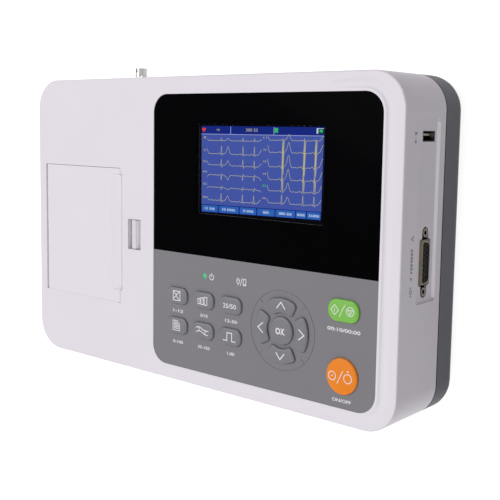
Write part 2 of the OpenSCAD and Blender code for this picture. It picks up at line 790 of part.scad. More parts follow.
module keypad_overlay() color("#7f7d80") placed() difference() {
    intersection() {
        translate([panel_x, panel_y, panel_top - overlay_t])
            linear_extrude(overlay_t) round_rect(panel_w, panel_d, panel_r);
        block([panel_x - panel_w, -body_d, 0], [panel_x + panel_w, split_y, 2 * face_z]);
    }
    for (k = KEYS)
        translate([k[0][0], k[0][1], under_z]) linear_extrude(2 * face_t) key_outline(k[1], key_gap);
    translate([led_x, led_y, under_z]) cylinder(r = led_r, h = 2 * face_t);
    translate([dial_x, dial_y, panel_top - 0.2]) linear_extrude(1) difference() {
        circle(dial_r + 0.3);
        circle(dial_r - 0.3);
    }
    for (a = [45 : 90 : 315]) translate([dial_x, dial_y, panel_top - 0.2]) rotate(a)
        translate([dial_r - 3.4, -0.25, 0]) cube([3.2, 0.5, 1]);
}

module display_gasket() color("#1b1b1e") placed() translate([panel_x, display_y, display_z]) difference() {
    linear_extrude(panel_top - lens_t - display_z) round_rect(
        display_w + 2 * (view_margin + gasket_w) - 0.2, display_h + 2 * (view_margin + gasket_w) - 0.2, 2);
    translate([0, 0, -1]) linear_extrude(5)
        round_rect(display_w + 2 * view_margin, display_h + 2 * view_margin, 0.5);
}

module display_frame() color("#8f9296") placed()
translate([panel_x, display_y, display_z - display_t]) difference() {
    linear_extrude(display_t) round_rect(display_frame_w, display_frame_h, 1);
    translate([0, 0, display_t - 1.5])
        linear_extrude(2) square([display_w + 2 * view_margin, display_h + 2 * view_margin], center = true);
}

module display_glass() color("#3f50a8") placed() translate([panel_x, display_y, display_z - 1.5])
    linear_extrude(1.5)
        square([display_w + 2 * view_margin - 0.1, display_h + 2 * view_margin - 0.1], center = true);

// ---------------------------------------------------------------- keys

// Outline of a key, grown by a margin
module key_outline(shape, grow) {
    if (shape[0] == "pad") round_rect(shape[1] + 2 * grow, shape[2] + 2 * grow, shape[3] + grow);
    if (shape[0] == "disc") circle(shape[1] + grow);
    if (shape[0] == "arrow") rotate(shape[1]) arrow_outline(grow);
}

// Outline of an arrow key that points along +X: a piece of a ring with round corners. The ring's piece
// stops one degree short of the corners' arcs, so that no two arcs meet in a tangent point.
module arrow_outline(grow) {
    r0 = arrow_r0 - grow;
    r1 = arrow_r1 + grow;
    c = arrow_corner + grow;
    reach = 2 * arrow_r1;
    half = arrow_half - 1;
    intersection() {
        difference() {
            circle(r1);
            circle(r0);
        }
        polygon([[0, 0], reach * [cos(half), -sin(half)], [reach, 0], reach * [cos(half), sin(half)]]);
    }
    for (s = [-1, 1]) scale([1, s]) rotate(arrow_half) {
        translate([r0 + c, -0.5]) square([r1 - r0 - 2 * c, c + 0.5]);
        for (r = [r0 + c, r1 - c]) translate([r, 0]) circle(c);
    }
}

// A key: crowned cap through the panel, with a flange that stops under the face
module key(k) {
    shape = k[1];
    placed() translate([k[0][0], k[0][1], 0]) {
        translate([0, 0, key_low]) linear_extrude(flange_t) key_outline(shape, flange_w);
        if (shape[0] == "pad") {
            carry_round(shape[1], shape[2], shape[3]) wall_section(key_band, key_root, key_top, key_edge);
            translate([0, 0, key_root]) linear_extrude(key_top - key_root)
                round_rect(shape[1] - 2 * key_band, shape[2] - 2 * key_band, shape[3] - key_band);
        }
        if (shape[0] == "disc") rotate_extrude() difference() {
            translate([shape[1], 0]) wall_section(shape[1], key_root, key_top, key_edge);
            translate([-5, 0]) square([5, 2 * face_z]);
        }
        if (shape[0] == "arrow") rotate(shape[1]) difference() {
            translate([0, 0, key_root]) linear_extrude(key_top - key_root) arrow_outline(0);
            rotate_extrude() translate([arrow_r1, key_top]) rounded_off();
            rotate_extrude() translate([arrow_r0, key_top]) mirror([1, 0]) rounded_off();
        }
    }
}

// What a rounded edge takes off a square one: X = 0 is the wall and Y = 0 the top
module rounded_off() {
    difference() {
        translate([-key_edge, -key_edge]) square(key_edge + 1);
        translate([-key_edge, -key_edge]) circle(key_edge - 0.02);
    }
}

module key_mode() color("#7f7d80") key(KEY_MODE);
module key_gain() color("#7f7d80") key(KEY_GAIN);
module key_speed() color("#7f7d80") key(KEY_SPEED);
module key_print() color("#7f7d80") key(KEY_PRINT);
module key_filter() color("#7f7d80") key(KEY_FILTER);
module key_cal() color("#7f7d80") key(KEY_CAL);
module key_up() color("#7f7d80") key(KEY_UP);
module key_down() color("#7f7d80") key(KEY_DOWN);
module key_left() color("#7f7d80") key(KEY_LEFT);
module key_right() color("#7f7d80") key(KEY_RIGHT);
module key_ok() color("#7f7d80") key(KEY_OK);
module key_start() color("#7fce4a") key(KEY_START);
module key_power() color("#f28a24") key(KEY_POWER);

// Middle of a key's dome, from the key's own place
function dome_at(k) = k[1][0] == "arrow"
    ? k[0] + (arrow_r0 + arrow_r1) / 2 * [cos(k[1][1]), sin(k[1][1])]
    : k[0];

module keypad_mat() color("#c9c7c2") placed() difference() {
    union() {
        translate([key_board_x, key_board_y, mat_z]) linear_extrude(mat_t)
            round_rect(key_board_w - 16, key_board_d - 3, 2);
        for (k = KEYS) translate([dome_at(k)[0], dome_at(k)[1], mat_z + mat_t - eps])
            cylinder(r1 = 4, r2 = 2.8, h = dome_top - mat_z - mat_t + eps);
    }
    translate([led_x, led_y, mat_z - 1]) cylinder(r = led_r + 1, h = mat_t + 2);
}

module key_board() color("#2f6b46") placed() difference() {
    translate([key_board_x, key_board_y, key_board_z]) linear_extrude(board_t)
        round_rect(key_board_w, key_board_d, 2);
    for (sx = [-1, 1], sy = [-1, 1])
        translate([key_board_x + sx * key_post_x, key_board_y + sy * key_post_y, key_board_z - 1])
            cylinder(r = 1.4, h = board_t + 2);
}

module light_pipes() color("#3fd07f") placed() translate([led_x, led_y, mat_z])
    cylinder(r = led_r - 0.05, h = panel_top + 0.1 - mat_z);

// Small pan-head screws that hold the key board and the main board
module board_screws() color("#b9bcc0") placed() {
    for (sx = [-1, 1], sy = [-1, 1])
        translate([key_board_x + sx * key_post_x, key_board_y + sy * key_post_y, key_board_z]) {
            cylinder(r = 1, h = board_t + 3.5);
            translate([0, 0, -1.4]) cylinder(r = 2.2, h = 1.4);
        }
    for (p = board_posts) translate([p[0], p[1], board_z + board_t]) {
        translate([0, 0, -board_t - 5]) cylinder(r = 1, h = board_t + 5);
        cylinder(r = 2.2, h = 1.4);
    }
}

// ---------------------------------------------------------------- printer

module paper_door() color("#e6e3e8") placed() difference() {
    union() {
        translate([hinge_x, 0, hinge_z]) rod_y(hinge_r, door_front, door_rear);
        block([hinge_x, door_front, under_z], [door_edge_x, door_rear, face_z]);
        block([door_edge_x - 13, slot_y - slot_len / 2 + 2, trough_z - 2.4],
              [door_edge_x - 0.1, slot_y + slot_len / 2 - 2, under_z + eps]);
        for (y = [platen_y0 + 2.4, platen_y1 - 4])
            block([hinge_x + 8, y, under_z - 2.2], [door_edge_x - 13, y + 1.6, under_z + eps]);
        block([door_edge_x - 19, platen_y0 + 2.4, under_z - 2.2],
              [door_edge_x - 17.4, platen_y1 - 2.4, under_z + eps]);
        for (y = [arm_front - arm_t, arm_rear]) door_arm(y);
    }
    trough();
    block([door_edge_x - 0.1, slot_y - slot_len / 2, under_z - 5],
          [door_edge_x + 1, slot_y + slot_len / 2, face_z + 1]);
    translate([platen_x, 0, platen_z]) rod_y(platen_end_r + run_gap, door_front, door_rear);
    translate([hinge_x, 0, hinge_z]) {
        rod_y(hinge_pin_r, door_front - 1, door_front + hinge_pin_len / 2);
        rod_y(hinge_pin_r, door_rear - hinge_pin_len / 2, door_rear + 1);
    }
}

// Arm that hangs from the door and carries the platen shaft, with the nose that the latch holds
module door_arm(y) {
    plate_y(y, y + arm_t) {
        translate([platen_x, platen_z]) circle(4.4);
        polygon([[platen_x - 4.4, platen_z], [platen_x + 4.4, platen_z], [platen_x + 4.4, under_z + eps],
                 [platen_x - 9, under_z + eps]]);
        polygon([[platen_x + 4, nose_z - 4], [platen_x + 5.9, nose_z - 1.6], [platen_x + 5.9, nose_z],
                 [platen_x + 4, nose_z]]);
    }
}

module door_hinge_pins() color("#c4c6c9") placed() translate([hinge_x, 0, hinge_z]) {
    rod_y(hinge_pin_r, door_front - hinge_pin_len / 2 + 1.3, door_front + hinge_pin_len / 2);
    rod_y(hinge_pin_r, door_rear - hinge_pin_len / 2, door_rear + hinge_pin_len / 2 - 1.3);
}

// Sliding latch: plate under the face, ridge for the finger, cross-bar with a hook at each end
module door_latch() color("#dcd9de") placed() {
    block([latch_body_x0, latch_body_y0, latch_z0], [latch_body_x1, latch_body_y1, latch_z1]);
    block([latch_body_x0, arm_front - arm_t, latch_z0],
          [latch_body_x0 + latch_bar_w, arm_rear + arm_t, latch_z1]);
    block([latch_body_x1 - 2, latch_mid_y - 4, latch_z0 - 3], [latch_body_x1, latch_mid_y + 4, latch_z1]);
    plate_y(latch_y0 + 0.8, latch_y1 - 0.8) polygon([
        [latch_x0 + 3.2, latch_z1 - eps], [latch_x0 + 3.7, face_z - 0.4], [latch_x0 + 7.5, face_z - 0.4],
        [latch_x0 + 9.9, latch_z1 - eps]]);
    for (y = [arm_front - arm_t, arm_rear]) plate_y(y, y + arm_t)
        polygon([[latch_tip_x, nose_z + 0.3], [latch_body_x0 + eps, nose_z + 0.3],
                 [latch_body_x0 + eps, latch_z1], [latch_tip_x + 2, latch_z1],
                 [latch_tip_x, nose_z + 2.4]]);
}

module latch_spring() color("#c4c6c9") placed()
    translate([latch_body_x1, latch_mid_y, latch_spring_z]) rotate([0, 90, 0])
        coil_spring(spring_r, wire_r, latch_spring_len, spring_turns);

module platen_shaft() color("#c4c6c9") placed() translate([platen_x, 0, platen_z]) {
    rod_y(platen_shaft_r, platen_y0 - 0.5, platen_y1 + 0.5);
    rod_y(platen_end_r, gear_y0 - 0.6, arm_rear + arm_t + 0.8);
}

module platen_rubber() color("#2b2b2e") placed() translate([platen_x, 0, platen_z]) difference() {
    rod_y(platen_r, platen_y0, platen_y1);
    rod_y(platen_shaft_r, platen_y0 - 1, platen_y1 + 1);
}

module platen_gear() color("#f1efe8") placed() translate([platen_x, 0, platen_z]) difference() {
    plate_y(gear_y0, gear_y1) rotate(idler_turn) gear_outline(platen_teeth, gear_m);
    rod_y(platen_end_r, gear_y0 - 1, gear_y1 + 1);
}

// Turn of a gear whose tooth gap faces a neighbour at the given angle
function gap_turn(angle, teeth) = angle + 180 / teeth;

module idler_gear() color("#f1efe8") placed() translate([idler_at[0], 0, idler_at[1]]) difference() {
    plate_y(gear_y0, gear_y1)
        rotate(gap_turn(idler_turn + 180, idler_teeth)) gear_outline(idler_teeth, gear_m);
    rod_y(idler_stud_r + run_gap, gear_y0 - 1, gear_y1 + 1);
}

module idler_stud() color("#c4c6c9") placed() translate([idler_at[0], 0, idler_at[1]]) {
    rod_y(idler_stud_r, gear_y0 - 0.3, plate_y1);
    rod_y(idler_stud_r + 1.2, gear_y0 - 1.1, gear_y0 - 0.3);
}

module motor_pinion() color("#d8b25a") placed() translate([pinion_at[0], 0, pinion_at[1]]) {
    pinion_phase = gap_turn(pinion_turn + 180, pinion_teeth) + pinion_match();
    plate_y(gear_y0, gear_y1) rotate(pinion_phase) gear_outline(pinion_teeth, gear_m);
    rod_y(motor_shaft_r, gear_y0 - 0.6, plate_y1 + motor_len - 3);
}

// Turn that brings the pinion into mesh with the idler's tooth nearest to the line of centres
function pinion_match() =
    let (idler_phase = gap_turn(idler_turn + 180, idler_teeth),
         step = 360 / idler_teeth,
         off = (pinion_turn - idler_phase) - step * round((pinion_turn - idler_phase) / step))
    off * idler_teeth / pinion_teeth;

module paper_motor() color("#a9acb0") placed() translate([pinion_at[0], 0, pinion_at[1]]) difference() {
    union() {
        rod_y(motor_r, plate_y1, plate_y1 + motor_len);
        rod_y(4, plate_y1 - 1.2, plate_y1 + eps);
    }
    rod_y(motor_shaft_r + run_gap, plate_y1 - 3, plate_y1 + motor_len - 2.5);
}

module printer_chassis() color("#9ea1a6") placed() difference() {
    union() {
        for (y = [plate_y0, back_plate_y0]) plate_y(y, y + 2) chassis_outline();
        block([chassis_x0, plate_y0, chassis_z], [chassis_x1, back_plate_y1, chassis_z + chassis_t]);
        in_head_frame() block([sink_t + head_t + spring_len, plate_y1 - eps, -13],
                              [sink_t + head_t + spring_len + 2, back_plate_y0 + eps, 2.2]);
        for (x = [chassis_x0 + 4, chassis_x1 - 4], y = [plate_y0 + 6, back_plate_y1 - 6])
            translate([x, y, floor_z]) cylinder(r = 3, h = chassis_z - floor_z + eps);
    }
    translate([idler_at[0], 0, idler_at[1]]) rod_y(idler_stud_r, plate_y0 - 1, plate_y1 + 1);
    translate([pinion_at[0], 0, pinion_at[1]]) rod_y(4.05, plate_y0 - 1, plate_y1 + eps);
    block([chassis_x0 + 8, plate_y1 + 20, chassis_z - 1], [chassis_x1 - 8, back_plate_y0 - 8, chassis_z + 3]);
}

// Outline of the chassis's two side plates, stepped down beside the platen
module chassis_outline() {
    polygon([
        [chassis_x0, chassis_z], [chassis_x1, chassis_z], [chassis_x1, platen_z + 2],
        [chassis_x1 - 4, platen_z + 4], [platen_x + 8.6, platen_z + 4], [platen_x + 8.6, platen_z - 7.5],
        [platen_x + 5, platen_z - 9.8], [chassis_x0, platen_z - 9.8]]);
}

// Head frame: X away from the platen, Z up along the head, from the printing line
module in_head_frame() {
    translate([platen_x, 0, platen_z]) rotate([0, head_lean, 0]) translate([head_gap, 0, 0]) children();
}

module print_head() color("#5a4a3a") placed() in_head_frame()
    block([0, platen_y0 - 0.2, -7], [head_t, platen_y1 + 0.2, 2]);

module head_heat_sink() color("#b5b8bc") placed() in_head_frame() {
    block([head_t, plate_y1, -11], [head_t + sink_t, back_plate_y0, 1.6]);
    for (z = [-10.5, -8, -5.5])
        block([head_t + sink_t - eps, platen_y0 + 24, z], [head_t + sink_t + 3, platen_y1 - 24, z + 1]);
}

module head_springs() color("#c4c6c9") placed() in_head_frame()
    for (y = [slot_y - 26, slot_y + 26])
        translate([head_t + sink_t, y, -5]) rotate([0, 90, 0])
            coil_spring(spring_r, wire_r, spring_len, spring_turns);

// Moulded well that the paper roll drops into
module paper_well() color("#d7d4d9") placed() difference() {
    union() {
        plate_y(well_y0, well_y1) well_section(well_r + well_t);
        for (y = [well_y0 - well_t, well_y1]) plate_y(y, y + well_t) well_section(well_r + well_t);
        difference() {
            block([hinge_x - 5, door_front - 1.5, well_rim_z - 2],
                  [roll_x + well_r, door_rear + 1.5, well_rim_z]);
            block([roll_x - well_r, well_y0 - 0.5, well_rim_z - 3],
                  [roll_x + well_r + 1, well_y1 + 0.5, well_rim_z + 1]);
            block([roll_x + 18, door_front - 2, well_rim_z - 3],
                  [roll_x + well_r + 3, well_y0 - well_t, well_rim_z + 1]);
        }
        for (x = [roll_x - 18, roll_x + 18], y = [well_y0 - 1, well_y1 + 1])
            translate([x, y, floor_z]) cylinder(r = 3.4, h = roll_z - floor_z - 18);
    }
    plate_y(well_y0, well_y1) {
        translate([roll_x, roll_z]) circle(well_r);
        translate([roll_x - well_r, roll_z]) square([2 * well_r, 50]);
    }
    plate_y(well_y0 - well_t - 1, well_y1 + well_t + 1) {
        translate([roll_x, roll_z]) circle(spindle_end_r);
        translate([roll_x - spindle_end_r, roll_z]) square([2 * spindle_end_r, 50]);
    }
}

// Outer outline of the well: a round bottom, straight sides, a low wall on the printer's side
module well_section(r) {
    difference() {
        union() {
            translate([roll_x, roll_z]) circle(r);
            translate([roll_x - r, roll_z]) square([2 * r, well_rim_z - roll_z]);
        }
        translate([roll_x - r - 1, well_rim_z]) square([2 * r + 2, r]);
        translate([roll_x + 18, well_right_z]) square([r, r]);
    }
}

module paper_spindle() color("#3a3b40") placed() translate([roll_x, 0, roll_z]) {
    rod_y(spindle_r, well_y0 + 0.4, well_y1 - 0.4);
    rod_y(spindle_end_r, well_y0 - well_t, well_y1 + well_t);
}

module paper_roll() color("#f6f5f1") placed() translate([roll_x, 0, roll_z]) difference() {
    rod_y(roll_r, slot_y - paper_w / 2, slot_y + paper_w / 2);
    rod_y(core_r, slot_y - paper_w / 2 - 1, slot_y + paper_w / 2 + 1);
    for (y = [slot_y - paper_w / 2 - 0.6, slot_y + paper_w / 2 - 0.4])
        difference() {
            rod_y(core_r + core_t + 0.3, y, y + 1);
            rod_y(core_r + core_t, y - 1, y + 2);
        }
}

// ---------------------------------------------------------------- boards, power and battery

module main_board() color("#2f6b46") placed() difference() {
    union() {
        block([board_x0, board_y0, board_z], [board_x1, board_step_y, board_z + board_t]);
        block([board_x0, board_step_y - eps, board_z], [board_step_x, board_y1, board_z + board_t]);
    }
    for (p = board_posts) translate([p[0], p[1], board_z - 1]) cylinder(r = 1.4, h = board_t + 2);
}

// Chips, shield and buzzer on the main board: size and place from the board's front left corner
module board_components() color("#26272b") placed() translate([board_x0, board_y0, board_z + board_t]) {
    shield_w = 26;
    shield_x = lead_flange_x - insert_depth - shield_gap - shield_w - board_x0;
    translate([shield_x, 22, 0]) cube([shield_w, 34, 4.5]);
    for (c = [[60, 34, 24, 24, 1.8], [92, 34, 14, 20, 1.4], [60, 70, 12, 18, 1.2], [82, 70, 12, 18, 1.2],
              [24, 60, 16, 10, 3.5], [108, 62, 10, 10, 1.2], [20, 30, 9, 22, 6]])
        translate([c[0], c[1], 0]) cube([c[2], c[3], c[4]]);
    translate([30, 92, 0]) cylinder(r = 6, h = 8);
}

module power_board() color("#2f6b46") placed() difference() {
    block([power_x0, power_y0, power_z], [power_x1, power_y1, power_z + board_t]);
    for (x = [power_x0 + 5, power_x1 - 5], y = [power_y0 + 5, power_y1 - 5])
        translate([x, y, power_z - 1]) cylinder(r = 1.4, h = board_t + 2);
}

// Transformer with its core, capacitors and rectifier
module power_components() color("#3a3b40") placed() translate([power_x0, power_y0, power_z + board_t]) {
    translate([28, 8, 0]) cube([28, 24, 3]);
    translate([31, 11, 3 - eps]) cube([22, 18, 13]);
    translate([29, 14, 5]) cube([26, 12, 9]);
    translate([14, 20, 0]) cylinder(r = 7, h = 15);
    translate([66, 16, 0]) cylinder(r = 5, h = 14);
    translate([66, 30, 0]) cylinder(r = 5, h = 14);
}

module battery_pack() color("#3d5a86") placed() translate([bay_x, bay_y, base_z + cover_t])
    linear_extrude(battery_h) round_rect(battery_w, battery_d, 4);

module battery_cover() color("#55555d") placed() difference() {
    translate([bay_x, bay_y, base_z]) linear_extrude(cover_t) round_rect(cover_w, cover_d, 2.8);
    for (s = [-1, 1]) translate([bay_x + s * (cover_w / 2 - 2), bay_y, 0]) {
        cylinder(r = 1.2, h = 20);
        cylinder(r = 2.0, h = base_z + 1);
    }
}

module cover_screws() color("#b9bcc0") placed()
    for (s = [-1, 1]) translate([bay_x + s * (cover_w / 2 - 2), bay_y, base_z]) {
        translate([0, 0, 0.1]) cylinder(r = 1.9, h = 0.9);
        translate([0, 0, 0.5]) cylinder(r = 1, h = 8);
    }

// Flat cables from the display, the key board and the print head to the main board
module flat_cables() color("#d9c9a0") placed() {
    top = board_z + board_t;
    translate([panel_x - 12, 0, 0]) rotate([90, 0, 90]) linear_extrude(24) strip([
        [display_y - 12, display_z - display_t - 0.2], [display_y - 12, display_z - 14],
        [display_y - 22, display_z - 20], [display_y - 22, top]]);
    translate([panel_x - 40, 0, 0]) rotate([90, 0, 90]) linear_extrude(20) strip([
        [key_board_y + 26, key_board_z - 0.2], [key_board_y + 26, key_board_z - 8],
        [key_board_y + 22, key_board_z - 14], [key_board_y + 22, top]]);
    plate_y(slot_y - 12, slot_y + 12) strip([
        [platen_x + 7.6, platen_z - 12.8], [platen_x + 12, platen_z - 19],
        [board_x0 - 3, top + 4], [board_x0 + 3, top + 0.2]]);
}

// Thin strip along a few points
module strip(points) {
    t = 0.4;
    for (i = [0 : len(points) - 2]) {
        step = points[i + 1] - points[i];
        translate(points[i]) rotate(atan2(step[1], step[0])) translate([0, -t / 2]) square([norm(step), t]);
    }
    for (i = [1 : len(points) - 2]) translate(points[i]) circle(t / 2, $fn = 16);
}

// ---------------------------------------------------------------- connectors

// Outline of the lead socket's shell: the long side up
module lead_outline(w, h) {
    lean = h * tan(10);
    c = 1.2;
    polygon([
        [-w / 2 + c, h / 2], [w / 2 - c, h / 2], [w / 2, h / 2 - c],
        [w / 2 - lean + c * 0.3, -h / 2 + c], [w / 2 - lean - c, -h / 2],
        [-w / 2 + lean + c, -h / 2], [-w / 2 + lean - c * 0.3, -h / 2 + c], [-w / 2, h / 2 - c]]);
}

// Draws an outline in Y and Z, carried along X
module along_x(x0, x1) {
    translate([x0, lead_y, conn_z]) rotate([90, 0, 90]) linear_extrude(x1 - x0) children();
}

module lead_socket_shell() color("#c4c0b4") placed() difference() {
    union() {
        along_x(lead_flange_x - 1, lead_flange_x) round_rect(39.1, 12.5, 2);
        along_x(lead_flange_x - eps, lead_rim_x) lead_outline(lead_shell_w, lead_shell_h);
    }
    along_x(lead_flange_x - 2, lead_rim_x + 1) lead_outline(lead_shell_w - 1, lead_shell_h - 1);
    for (s = [-1, 1])
        translate([0, lead_y + s * jack_pitch / 2, conn_z]) rod_x(1.6, lead_flange_x - 2, lead_flange_x + 1);
}

module lead_socket_insert() color("#1d1d20") placed() difference() {
    union() {
        along_x(lead_flange_x - 1 - eps, lead_rim_x - 0.4) lead_outline(lead_shell_w - 1, lead_shell_h - 1);
        block([lead_flange_x - insert_depth, lead_y - 13, board_z + board_t],
              [lead_flange_x - 1, lead_y + 13, conn_z + 6]);
    }
    for (row = [0, 1], i = [0 : 7 - row])
        translate([0, lead_y + (i - 3.5 + row / 2) * 2.77, conn_z + 1.42 - 2.84 * row])
            rod_x(0.55, lead_rim_x - 3.4, lead_rim_x);
}

module lead_socket_jackscrews() color("#d0d0cc") placed()
    for (s = [-1, 1]) translate([0, lead_y + s * jack_pitch / 2, conn_z]) difference() {
        union() {
            translate([lead_flange_x, 0, 0]) rotate([0, 90, 0])
                cylinder(r = jack_af / 2 / cos(30), h = jack_x - lead_flange_x, $fn = 6);
            rod_x(1.4, lead_flange_x - 4, lead_flange_x + eps);
        }
        rod_x(jack_hole_r, lead_flange_x + 0.2, jack_x + 1);
    }

module usb_shell() color("#c9cbce") placed() translate([0, usb_y, conn_z]) difference() {
    translate([recess_x - 13.5, 0, 0]) rotate([90, 0, 90]) linear_extrude(13.5) round_rect(usb_w, usb_h, 0.5);
    translate([recess_x - 12.5, 0, 0]) rotate([90, 0, 90]) linear_extrude(14)
        square([usb_w - 2 * usb_t, usb_h - 2 * usb_t], center = true);
}

module usb_tongue() color("#8d8f8c") placed() translate([recess_x - 12.5, usb_y + 1.1, conn_z])
    rotate([90, 0, 90]) linear_extrude(9.9) square([1.8, 11.1], center = true);

module mains_inlet() color("#1d1d20") placed() translate([inlet_x, 0, rear_z]) difference() {
    union() {
        plate_y(inlet_face - inlet_flange[2], inlet_face) round_rect(inlet_flange[0], inlet_flange[1], 5);
        plate_y(blade_y0 + 1, inlet_face - 1) square([inlet_body[0], inlet_body[1]], center = true);
    }
    plate_y(inlet_floor, inlet_face + 1) appliance_outline(inlet_cavity[0] / 2, inlet_cavity[1] / 2, 4.5);
    for (s = [-1, 1]) translate([s * inlet_pitch / 2, 0, 0]) {
        rod_y(inlet_screw_r + fit_gap, rear_y - 5, rear_y + 1);
        translate([0, inlet_face + eps, 0]) rotate([90, 0, 0])
            cylinder(r1 = screw_head_r + fit_gap, r2 = inlet_screw_r + fit_gap, h = 1.4);
    }
    for (b = INLET_BLADES) translate([b[0], 0, b[1]]) block([-1, blade_y0, -2], [1, rear_y, 2]);
}

// Six-sided outline of the appliance connector: a rectangle with its two upper corners cut off
module appliance_outline(w, h, cut) {
    polygon([[-w, -h], [w, -h], [w, h - cut], [w - cut, h], [cut - w, h], [-w, h - cut]]);
}

module inlet_blades() color("#d8c27a") placed() translate([inlet_x, 0, rear_z])
    for (b = INLET_BLADES) translate([b[0], 0, b[1]]) block([-1, blade_y0 - 4, -2], [1, blade_tip, 2]);

// Earth post: turned post with a cross hole for a bare wire, held by a nut inside the case
module earth_post() color("#c4c6c9") placed() translate([earth_x, 0, rear_z]) difference() {
    union() {
        rod_y(earth_r, rear_y, rear_y + earth_reach);
        rod_y(2, rear_y - 10, rear_y + eps);
        translate([0, rear_y - wall, 0]) rotate([90, 0, 0]) cylinder(r = 4.6, h = 3, $fn = 6);
    }
    rotate([0, 40, 0]) translate([0, rear_y + 2.2, -10]) cylinder(r = 1.2, h = 20);
    block([-0.6, rear_y + earth_reach - 3, -earth_r - 1], [0.6, rear_y + earth_reach + 1, earth_r + 1]);
}

upper_case();
lower_case();
feet();
case_screws();
display_window();
keypad_overlay();
display_gasket();
display_frame();
display_glass();
key_mode();
key_gain();
key_speed();
key_print();
key_filter();
key_cal();
key_up();
key_down();
key_left();
key_right();
key_ok();
key_start();
key_power();
keypad_mat();
key_board();
light_pipes();
board_screws();
paper_door();
door_hinge_pins();
door_latch();
latch_spring();
platen_shaft();
platen_rubber();
platen_gear();
idler_gear();
idler_stud();
paper_motor();
motor_pinion();
printer_chassis();
print_head();
head_heat_sink();
head_springs();
paper_well();
paper_spindle();
paper_roll();
main_board();
board_components();
power_board();
power_components();
battery_pack();
battery_cover();
cover_screws();
lead_socket_shell();
lead_socket_insert();
lead_socket_jackscrews();
usb_shell();
usb_tongue();
mains_inlet();
inlet_blades();
earth_post();
flat_cables();
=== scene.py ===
"""Looks of a portable electrocardiograph: display, keypad, paper door, connectors and case.

Lengths are written in millimetres and turned to metres where a mesh is made. X runs to the right, Y to the
rear and Z up out of the control face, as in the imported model.
"""
import logging
import math
from collections.abc import Callable
from dataclasses import dataclass, field
from enum import Enum

import bpy
import numpy as np
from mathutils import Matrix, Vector


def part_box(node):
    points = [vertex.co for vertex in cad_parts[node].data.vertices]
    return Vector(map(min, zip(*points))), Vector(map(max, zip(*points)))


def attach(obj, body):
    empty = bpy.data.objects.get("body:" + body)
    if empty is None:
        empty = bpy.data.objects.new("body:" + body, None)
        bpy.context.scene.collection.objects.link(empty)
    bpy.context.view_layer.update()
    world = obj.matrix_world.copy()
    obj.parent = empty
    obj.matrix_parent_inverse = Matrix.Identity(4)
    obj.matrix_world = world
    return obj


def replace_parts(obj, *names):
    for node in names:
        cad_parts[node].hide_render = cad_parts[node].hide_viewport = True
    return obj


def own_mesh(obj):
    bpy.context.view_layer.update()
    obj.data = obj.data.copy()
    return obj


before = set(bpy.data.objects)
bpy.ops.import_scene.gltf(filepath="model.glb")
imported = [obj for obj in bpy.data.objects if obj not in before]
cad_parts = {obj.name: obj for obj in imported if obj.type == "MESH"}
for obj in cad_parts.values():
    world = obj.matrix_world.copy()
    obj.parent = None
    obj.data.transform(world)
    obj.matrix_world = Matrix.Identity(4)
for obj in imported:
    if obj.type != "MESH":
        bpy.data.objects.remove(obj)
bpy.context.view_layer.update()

MM = 0.001
# Scale at which the wave texture repeats once in a unit: a tenth of pi
WAVE_SCALE = 0.31416
# Thickness of a key's printed strokes, and of the print on the film and of fine figures, in millimetres; then how far
# a print sinks into its ground
KEY_INK = 0.02
FILM_INK = 0.04
SINK = 0.01
# Directions of a flat drawing on the right wall, and of one that stands on its side in the data port
ON_WALL = ((0, 1, 0), (0, 0, 1), (1, 0, 0))
ON_SIDE = ((1, 0, 0), (0, 0, -1), (0, 1, 0))
LOG = logging.getLogger("electrocardiograph")
# Short names of types: a place or size on a plane, a height over it, and the parts of a node tree
Pair = tuple[float, float]
Lift = Callable[[np.ndarray, np.ndarray], np.ndarray]
Tree = bpy.types.NodeTree
Node = bpy.types.Node
Socket = bpy.types.NodeSocket


# ------------------------------------------------------------------------------------------ finishes

def linear(colour: str, alpha: float = 1.0) -> tuple[float, float, float, float]:
    """Turns an sRGB hex value to linear light.

    Each channel c is c / 12.92 up to 0.04045, and ((c + 0.055) / 1.055) to the power 2.4 above it.

    Args:
        colour: Six hex digits, with or without a leading hash sign.
        alpha: Fourth channel, kept as it is.

    Returns:
        Red, green, blue and alpha in linear light.
    """
    digits = colour.lstrip("#")
    channels = [int(digits[i:i + 2], 16) / 255 for i in (0, 2, 4)]
    red, green, blue = (c / 12.92 if c <= 0.04045 else ((c + 0.055) / 1.055) ** 2.4 for c in channels)
    return red, green, blue, alpha


def add_node(tree: Tree, kind: str, settings: dict | None = None, links: dict | None = None) -> Node:
    """Adds one node with its settings and its incoming links.

    Args:
        tree: Node tree that receives the node.
        kind: Node type identifier.
        settings: Properties by attribute name, or socket values by socket name or number.
        links: Output sockets of earlier nodes, by this node's socket name or number.

    Returns:
        The new node.
    """
    node = tree.nodes.new(kind)
    for key, value in (settings or {}).items():
        if isinstance(key, str) and hasattr(node, key):
            setattr(node, key, value)
        else:
            node.inputs[key].default_value = value
    for key, source in (links or {}).items():
        tree.links.new(source, node.inputs[key])
    return node


class Along(Enum):
    """Direction that a drawn, ground or turned surface is stretched along."""

    X = (0.04, 1.0, 1.0)
    Y = (1.0, 0.04, 1.0)
    Z = (1.0, 1.0, 0.04)
    NONE = (1.0, 1.0, 1.0)


